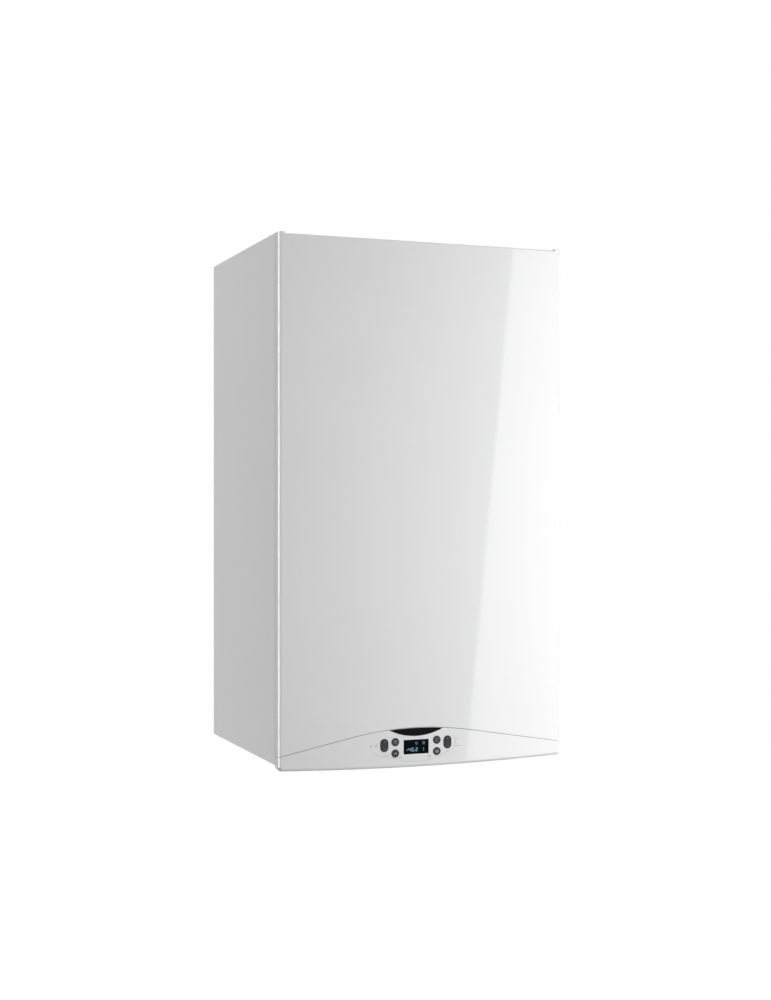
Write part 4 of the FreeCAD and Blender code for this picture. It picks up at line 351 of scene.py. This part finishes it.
def plaque(shape, outline, at):
    """A thin plate about a place, its back on the place's plane."""
    x, y, z = at
    back = [shape.verts.new((x + px * MM, y, z + pz * MM)) for px, pz in outline]
    front = [shape.verts.new((x + px * MM, y - MARK_DEPTH, z + pz * MM)) for px, pz in outline]
    shape.faces.new(front)
    shape.faces.new(list(reversed(back)))
    band(shape, back, front)


def marks(name, outlines, material, at, body):
    """One piece of flat marks about a place."""
    shape = bmesh.new()
    for outline in outlines:
        plaque(shape, outline, at)
    new_piece(name, shape, material, body)


def bar(x0, z0, x1, z1, width):
    """The outline of a straight stroke."""
    along = Vector((x1 - x0, z1 - z0)).normalized() * width / 2
    across = Vector((-along.y, along.x))
    ends = (Vector((x0, z0)) - along, Vector((x1, z1)) + along)
    corners = (ends[0] - across, ends[1] - across, ends[1] + across, ends[0] + across)
    return [tuple(corner) for corner in corners]


def row(level, left, right, width):
    return bar(left, level, right, level, width)


def upright(x, low, high, width):
    return bar(x, low, x, high, width)


def disc(x, z, radius, steps=DOT_STEPS):
    turns = [FULL_TURN * i / steps for i in range(steps)]
    return [(x + radius * math.cos(turn), z + radius * math.sin(turn)) for turn in turns]


def arc_strokes(x, z, radius, start, end, width, steps=14):
    """Short strokes along an arc, angles in degrees."""
    turns = [math.radians(start + (end - start) * i / steps) for i in range(steps + 1)]
    spots = [(x + radius * math.cos(turn), z + radius * math.sin(turn)) for turn in turns]
    return [bar(*a, *b, width) for a, b in zip(spots, spots[1:])]


def digit(symbol, left):
    """The strokes of one seven-segment digit, from its left side."""
    strokes = []
    for key in DIGITS[symbol]:
        x0, z0, x1, z1 = SEGMENTS[key]
        trim = HEAVY_STROKE * SEGMENT_TRIM
        dx, dz = (trim, 0) if z0 == z1 else (0, trim)
        start = (left + x0 * FIGURE_WIDTH + dx, FIGURE_BASE + z0 * FIGURE_HEIGHT / 2 + dz)
        end = (left + x1 * FIGURE_WIDTH - dx, FIGURE_BASE + z1 * FIGURE_HEIGHT / 2 - dz)
        strokes.append(bar(*start, *end, HEAVY_STROKE))
    return strokes


def display_marks():
    """A temperature's figures and plain pictograms on the display."""
    x, z = middle("display_window")
    low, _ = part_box("display_window")
    figures = []
    for symbol, left in (("4", -10.4), ("0", -6.2), ("2", -0.6)):
        figures += digit(symbol, left)
    figures.append(disc(-2.3, -5.4, 0.5))
    pointer = [bar(-13.2, -3.9, -11.9, end, SIGN_STROKE) for end in (-3.0, -4.8)]
    dial = arc_strokes(0.6, 4.6, 1.4, -50, 230, SIGN_STROKE)
    stem = upright(0.6, 2.6, 4.0, SIGN_STROKE)
    levels = [row(level, 9.2, 12.2, SIGN_STROKE) for level in (3.2, 4.6, 6.0)]
    dotted = [upright(10.7, -5.2, -3.2, HEAVY_STROKE), disc(10.7, -2.0, 0.5)]
    signs = [*pointer, *dial, stem, *levels, *dotted]
    at = (x, low.y, z)
    marks("display_figures", figures, display_blue, at, "control_panel")
    marks("display_signs", signs, display_dim, at, "control_panel")


def button_marks():
    """A plain pictogram and a rim on each round button, and plus and minus on each oval one."""
    open_ring = arc_strokes(0, -0.2, 2.0, 125, 415, ICON_STROKE)
    return_arc = arc_strokes(0, 0, 2.0, 40, 320, ICON_STROKE)
    icons = {
        "button_left_upper": [*open_ring, upright(0, 0.2, 2.2, ICON_STROKE)],
        "button_left_lower": [
            bar(-1.8, -0.8, 0, 1.2, SIGN_STROKE),
            bar(0, 1.2, 1.8, -0.8, SIGN_STROKE),
        ],
        "button_right_upper": [*return_arc, bar(1.2, 1.5, 2.3, 1.2, ICON_STROKE)],
        "button_right_lower": [row(level, -1.8, 1.8, ICON_STROKE) for level in (1.2, 0, -1.2)],
    }
    rim = arc_strokes(0, 0, RIM_RADIUS, 0, 360, RIM_STROKE, RIM_STEPS)
    plus_minus = [
        row(5.0, -1.3, 1.3, ICON_STROKE),
        upright(0, 3.7, 6.3, ICON_STROKE),
        row(-5.0, -1.3, 1.3, ICON_STROKE),
    ]
    y = FRONT - BUTTON_RISE
    for name, outlines in icons.items():
        x, z = middle(name)
        marks(name + "_icon", outlines, button_face, (x, y, z), name)
        marks(name + "_ring", rim, button_dim, (x, y, z), name)
    for name in ("oval_button_left", "oval_button_right"):
        x, z = middle(name)
        marks(name + "_icon", plus_minus, button_dim, (x, y, z), name)


def fascia_marks():
    """Faint printed pictograms round the buttons, and the thin lines under the group."""
    pair = [row(level, -69.4, -66.2, SIGN_STROKE) for level in (18.6, 20.4)]
    ends_of_rows = ((25.0, 46.5), (22.6, 48.5), (16.6, 47.0))
    listed = [row(level, LIST_LEFT, end, PRINT_STROKE) for level, end in ends_of_rows]
    last_row = row(14.0, LIST_LEFT, 51.5, LIST_STROKE)
    peak = [
        bar(-35.6, 1.6, -33.9, 3.8, PRINT_STROKE),
        bar(-33.9, 3.8, -32.2, 1.6, PRINT_STROKE),
    ]
    box_rows = [row(level, 5.4, 9.4, PRINT_STROKE) for level in (1.2, 3.4)]
    box_sides = [upright(x, 2.0, 2.6, PRINT_STROKE) for x in (5.4, 9.4)]
    dash = row(7.6, 31.8, 34.6, FINE_STROKE)
    prints = (
        ("fascia_left_signs", print_grey, [disc(-74.7, 19.4, 1.3, 14), *pair]),
        ("fascia_right_signs", print_faint, [*listed, last_row, disc(44.0, 19.6, 1.0, 12)]),
        ("fascia_low_signs", print_grey, [*peak, *box_rows, *box_sides, dash]),
        ("fascia_curve", print_faint, arc_strokes(-57.0, 27.3, 22.0, 236, 290, FINE_STROKE)),
        ("fascia_lens", print_faint,
         arc_strokes(-11.5, 96.0, 99.5, 243, 297, LENS_STROKE, LENS_STEPS)),
    )
    for name, material, outlines in prints:
        marks(name, outlines, material, (0, FRONT, BASE), "control_panel")


display_marks()
button_marks()
fascia_marks()


# Small fasteners, most of them behind the cover

SCREW = (0.003, 0.0022)          # radius and height of a head
SMALL_SCREW = (0.0026, 0.002)
HEAD_STEPS = 18
HEAD_RINGS = ((1, 0), (1, 0.6), (0.8, 1), (0.48, 1), (0.42, 0.35))  # shares of radius and height

FAN_SCREWS = 6
FAN_CIRCLE = 0.050
FAN_START = 0.3                  # the first screw's angle, in radians
FAN_SET = 0.003                  # the screws' face, in front of the motor's rear
VALVE_SPREAD = 0.025
VALVE_LEVELS = (0.017, 0.073)    # above the valve's lowest point
VALVE_FACE = 0.0307              # the valve's flat face, behind its foremost point
TOP_SCREWS = (-0.15, 0.0, 0.15)
TOP_LEVEL = 0.672                # above the casing's bottom edge
LID_SPREAD = 0.183
LID_INSET = 0.007
BOTTOM_SPREAD = 0.19
BOTTOM_ROWS = (-0.03, -0.15)


def screw_head(shape, at, direction, radius, height):
    """A head with a bevelled rim and a round socket, standing on a face."""
    turn = Vector(UP).rotation_difference(Vector(direction)).to_matrix().to_4x4()
    to_place = Matrix.Translation(at) @ turn
    turns = [FULL_TURN * i / HEAD_STEPS for i in range(HEAD_STEPS)]
    previous = None
    for out, rise in HEAD_RINGS:
        reach = radius * out
        spots = [(reach * math.cos(a), reach * math.sin(a), height * rise) for a in turns]
        ring = [shape.verts.new(to_place @ Vector(spot)) for spot in spots]
        if previous:
            band(shape, previous, ring)
        else:
            shape.faces.new(list(reversed(ring)))
        previous = ring
    shape.faces.new(previous)


def screws(name, spots, direction, size, body="boiler"):
    """One piece of equal screw heads."""
    shape = bmesh.new()
    for spot in spots:
        screw_head(shape, Vector(spot), direction, *size)
    new_piece(name, shape, materials["stainless"], body)


def fasteners():
    """Screw heads on the fan, the gas valve, the top panel, the tray's lid and the bottom plate."""
    fan_x, fan_z = middle("fan_motor")
    _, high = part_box("fan_motor")
    turns = [FAN_START + FULL_TURN * i / FAN_SCREWS for i in range(FAN_SCREWS)]
    spots = [
        (fan_x + FAN_CIRCLE * math.cos(a), high.y - FAN_SET, fan_z + FAN_CIRCLE * math.sin(a))
        for a in turns
    ]
    screws("fan_screws", spots, FORWARD, SCREW)

    low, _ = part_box("gas_valve")
    spots = [
        (fan_x + side * VALVE_SPREAD, low.y + VALVE_FACE, low.z + level)
        for side in (-1, 1) for level in VALVE_LEVELS
    ]
    screws("valve_screws", spots, FORWARD, SMALL_SCREW)

    low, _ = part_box("top_panel")
    spots = [(x, low.y, BASE + TOP_LEVEL) for x in TOP_SCREWS]
    screws("top_screws", spots, FORWARD, SCREW)

    low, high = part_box("tray_lid")
    rows = (low.y + LID_INSET, high.y - LID_INSET)
    spots = [(x, y, high.z) for x in (-LID_SPREAD, LID_SPREAD) for y in rows]
    screws("lid_screws", spots, UP, SCREW, "control_panel")

    low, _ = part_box("bottom_plate")
    spots = [(x, y, low.z) for x in (-BOTTOM_SPREAD, BOTTOM_SPREAD) for y in BOTTOM_ROWS]
    screws("bottom_screws", spots, DOWN, SCREW)


fasteners()


# Pipe threads on the five connections below the casing

THREAD_PITCH = 0.0018
THREAD_HEIGHT = 0.0005
THREAD_STEPS = 28
THREAD_SECTION = ((-0.02, -0.42), (1.0, -0.12), (1.0, 0.12), (-0.02, 0.42))  # of height and pitch
THREAD_END = 0.0045              # the thread's upper end, below the bottom edge
WIDE_STUB = 0.0132
SLIM_STUB = 0.0104
STUB_PITCH = 0.065
STUB_Y = -0.062
STUBS = {
    "flow_group": ((-2, WIDE_STUB), (-1, SLIM_STUB)),
    "gas_supply_pipe": ((0, WIDE_STUB),),
    "return_group": ((1, SLIM_STUB), (2, WIDE_STUB)),
}


def thread(shape, x, low, high, radius):
    """A helical ridge with a flat crest round an upright stub, fading in and out over one turn."""
    count = int((high - low - THREAD_PITCH) / THREAD_PITCH * THREAD_STEPS)
    previous = None
    for i in range(count + 1):
        turn = FULL_TURN * i / THREAD_STEPS
        level = low + THREAD_PITCH * (0.5 + i / THREAD_STEPS)
        fade = min(1.0, i / THREAD_STEPS, (count - i) / THREAD_STEPS)
        ring = []
        for out, along in THREAD_SECTION:
            reach = radius + THREAD_HEIGHT * (out * fade if out > 0 else out)
            place = (x + reach * math.cos(turn), STUB_Y + reach * math.sin(turn))
            ring.append(shape.verts.new((*place, level + along * THREAD_PITCH)))
        if previous:
            band(shape, previous, ring)
        else:
            shape.faces.new(ring)
        previous = ring
    shape.faces.new(list(reversed(previous)))


def threads():
    """The ridges on each group's stubs, one piece for each group."""
    low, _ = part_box("flow_group")
    for node, stubs in STUBS.items():
        shape = bmesh.new()
        for place, radius in stubs:
            thread(shape, place * STUB_PITCH, low.z, BASE - THREAD_END, radius)
        new_piece(node + "_threads", shape, materials["brass"], "boiler")


threads()


# Studio: world, floor, key light, reflection cards and camera

AMBIENT = 0.45
HANGING_HEIGHT = 1.1
FLOOR = BASE - HANGING_HEIGHT
FLOOR_GLOW = 0.7                 # the floor as seen: its own paleness, and what keeps the shadow
FLOOR_SEEN = (0.7, 0.7, 0.7, 1)
FLOOR_BOUNCE = (0.2, 0.2, 0.2, 1)
FLOOR_HALF = 6
FLOOR_BACK = 4

KEY_LEVEL = -0.36
KEY_PLACE = (1.0, -1.25, KEY_LEVEL)
KEY_TARGET = (0.35, FRONT, KEY_LEVEL)
KEY_SIZE = (0.5, 1.6)
KEY_POWER = 7.05
KEY_SPREAD = 100                 # in degrees

CARD_LOW, CARD_HIGH = -1.7, 1.4
FADE_LOW, FADE_HIGH = -1.05, 0.5         # past these heights the cards grow dim

SOFT_STRENGTH = 3.6
SOFT_Y = -2.5
SOFT_LOW, SOFT_HIGH = BASE - 1.05, BASE + 2.0
SOFT_RIGHT = 3.4
SOFT_SLANT = (0.962, 1.270)              # the left edge's x at the foot and at the top
SOFT_ENDS = (-1.68, 1.36)                # the heights where it is dimmest
SOFT_DIM = 0.25                          # the share of the strength that is left there
SOFT_SIDE = ("X", 1.5, 2.6, 0.45)        # a fade: axis, where full, where dim, share left

EDGE_STRENGTH = 10.0
EDGE_END = (-2.85, 1.09)
EDGE_DIM = 0.1

FILL_STRENGTH = 3.2
FILL_END = (-0.6, -3.2)
FILL_DIM = 0.31
FILL_SIDE = ("X", -2.2, -0.6, FILL_DIM)
LEFT_CORNER = (-2.66, -2.04)             # where the edge card and the fill card meet

CAMERA_PLACE = (-0.791827, -2.237525, BASE + 0.327534)
CAMERA_TURN = -21.02
CAMERA_LENS = 56.857
CAMERA_SENSOR = 36
CAMERA_SHIFT = 0.00885


def stage_plane(name, corners, material):
    mesh = bpy.data.meshes.new(name)
    mesh.from_pydata(corners, [], [tuple(range(len(corners)))])
    mesh.materials.append(material)
    plane = bpy.data.objects.new(name, mesh)
    bpy.context.collection.objects.link(plane)
    return plane


def white_when_seen(tree, seen, light, output):
    """Shows one shader to the camera, mirrors and glass, and lights the scene by the other."""
    path = add_node(tree, "LightPath").outputs
    either = {0: path["Is Camera Ray"], 1: path["Is Glossy Ray"]}
    direct = add_node(tree, "Math", links=either, operation="MAXIMUM").outputs[0]
    any_of_three = {0: direct, 1: path["Is Transmission Ray"]}
    share = add_node(tree, "Math", links=any_of_three, operation="MAXIMUM").outputs[0]
    mix = add_node(tree, "MixShader", links={"Fac": share, 1: light, 2: seen})
    tree.links.new(mix.outputs[0], tree.nodes[output].inputs["Surface"])


def studio_world():
    """White where it is seen, and a dimmer even light on the scene."""
    world = bpy.data.worlds.new("studio")
    bpy.context.scene.world = world
    world.use_nodes = True
    tree = world.node_tree
    seen = tree.nodes["Background"]
    seen.inputs["Color"].default_value = (1, 1, 1, 1)
    seen.inputs["Strength"].default_value = 1.0
    light = add_node(tree, "Background", {"Color": (1, 1, 1, 1), "Strength": AMBIENT})
    white_when_seen(tree, seen.outputs[0], light.outputs[0], "World Output")


def studio_floor():
    """A pale floor that keeps the shadow and throws little light back."""
    material = bpy.data.materials.new("studio_floor")
    material.use_nodes = True
    tree = material.node_tree
    pale = add_node(tree, "Emission", {"Strength": FLOOR_GLOW})
    shaded = add_node(tree, "BsdfDiffuse", {"Color": FLOOR_SEEN})
    seen = add_node(tree, "AddShader", links={0: pale.outputs[0], 1: shaded.outputs[0]})
    bounce = add_node(tree, "BsdfDiffuse", {"Color": FLOOR_BOUNCE})
    white_when_seen(tree, seen.outputs[0], bounce.outputs[0], "Material Output")
    corners = [
        (-FLOOR_HALF, -FLOOR_HALF, FLOOR),
        (FLOOR_HALF, -FLOOR_HALF, FLOOR),
        (FLOOR_HALF, FLOOR_BACK, FLOOR),
        (-FLOOR_HALF, FLOOR_BACK, FLOOR),
    ]
    stage_plane("studio_floor", corners, material)


def key_light():
    """A tall soft lamp at the right, which brightens that side of the front."""
    data = bpy.data.lights.new("key_light", "AREA")
    data.shape = "RECTANGLE"
    data.size, data.size_y = KEY_SIZE
    data.energy = KEY_POWER
    data.spread = math.radians(KEY_SPREAD)
    light = bpy.data.objects.new("key_light", data)
    light.location = KEY_PLACE
    aim = Vector(KEY_TARGET) - Vector(KEY_PLACE)
    light.rotation_euler = aim.to_track_quat("-Z", "Y").to_euler()
    light.visible_glossy = False
    bpy.context.collection.objects.link(light)


def glow(name, strength, fades):
    """A card's light, which falls to a share of its strength between two places along an axis."""
    material = bpy.data.materials.new(name)
    material.use_nodes = True
    tree = material.node_tree
    place = add_node(tree, "TexCoord").outputs["Object"]
    axes = add_node(tree, "SeparateXYZ", links={"Vector": place}).outputs
    level = None
    for axis, full, dim, share in fades:
        span = {"From Min": full, "From Max": dim, "To Min": 1.0, "To Max": share}
        fade = add_node(tree, "MapRange", span, {"Value": axes[axis]},
                        interpolation_type="SMOOTHSTEP")
        both = add_node(tree, "Math", {1: strength}, {0: fade.outputs["Result"]},
                        operation="MULTIPLY")
        if level:
            tree.links.new(level, both.inputs[1])
        level = both.outputs[0]
    emitter = add_node(tree, "Emission", links={"Strength": level})
    tree.links.new(emitter.outputs[0], tree.nodes["Material Output"].inputs["Surface"])
    return material


def dim_ends(low, high, share):
    """Fades toward a card's foot and top."""
    return [("Z", FADE_LOW, low, share), ("Z", FADE_HIGH, high, share)]


def tall_card(start, end):
    """The corners of an upright card between two places on the floor plan."""
    return [(*start, CARD_LOW), (*end, CARD_LOW), (*end, CARD_HIGH), (*start, CARD_HIGH)]


def reflection_cards():
    """Cards that only gloss shows: one whose slanted edge the front mirrors, and two for the edges."""
    slanted = [
        (SOFT_SLANT[0], SOFT_Y, SOFT_LOW),
        (SOFT_RIGHT, SOFT_Y, SOFT_LOW),
        (SOFT_RIGHT, SOFT_Y, SOFT_HIGH),
        (SOFT_SLANT[1], SOFT_Y, SOFT_HIGH),
    ]
    soft_fades = [SOFT_SIDE, *dim_ends(*SOFT_ENDS, SOFT_DIM)]
    edge_fades = dim_ends(CARD_LOW, CARD_HIGH, EDGE_DIM)
    fill_fades = [FILL_SIDE, *dim_ends(CARD_LOW, CARD_HIGH, FILL_DIM)]
    cards = (
        ("soft_box", slanted, SOFT_STRENGTH, soft_fades),
        ("edge_box", tall_card(LEFT_CORNER, EDGE_END), EDGE_STRENGTH, edge_fades),
        ("fill_box", tall_card(FILL_END, LEFT_CORNER), FILL_STRENGTH, fill_fades),
    )
    for name, corners, strength, fades in cards:
        card = stage_plane(name, corners, glow(name, strength, fades))
        card.visible_camera = False
        card.visible_diffuse = False
        card.visible_transmission = False
        card.visible_shadow = False


def front_camera():
    data = bpy.data.cameras.new("camera")
    data.lens = CAMERA_LENS
    data.sensor_width = CAMERA_SENSOR
    data.shift_y = CAMERA_SHIFT
    camera = bpy.data.objects.new("camera", data)
    camera.location = CAMERA_PLACE
    camera.rotation_euler = (math.radians(90), 0, math.radians(CAMERA_TURN))
    bpy.context.collection.objects.link(camera)
    bpy.context.scene.camera = camera


studio_world()
studio_floor()
key_light()
reflection_cards()
front_camera()
bpy.context.scene.view_settings.view_transform = "Standard"
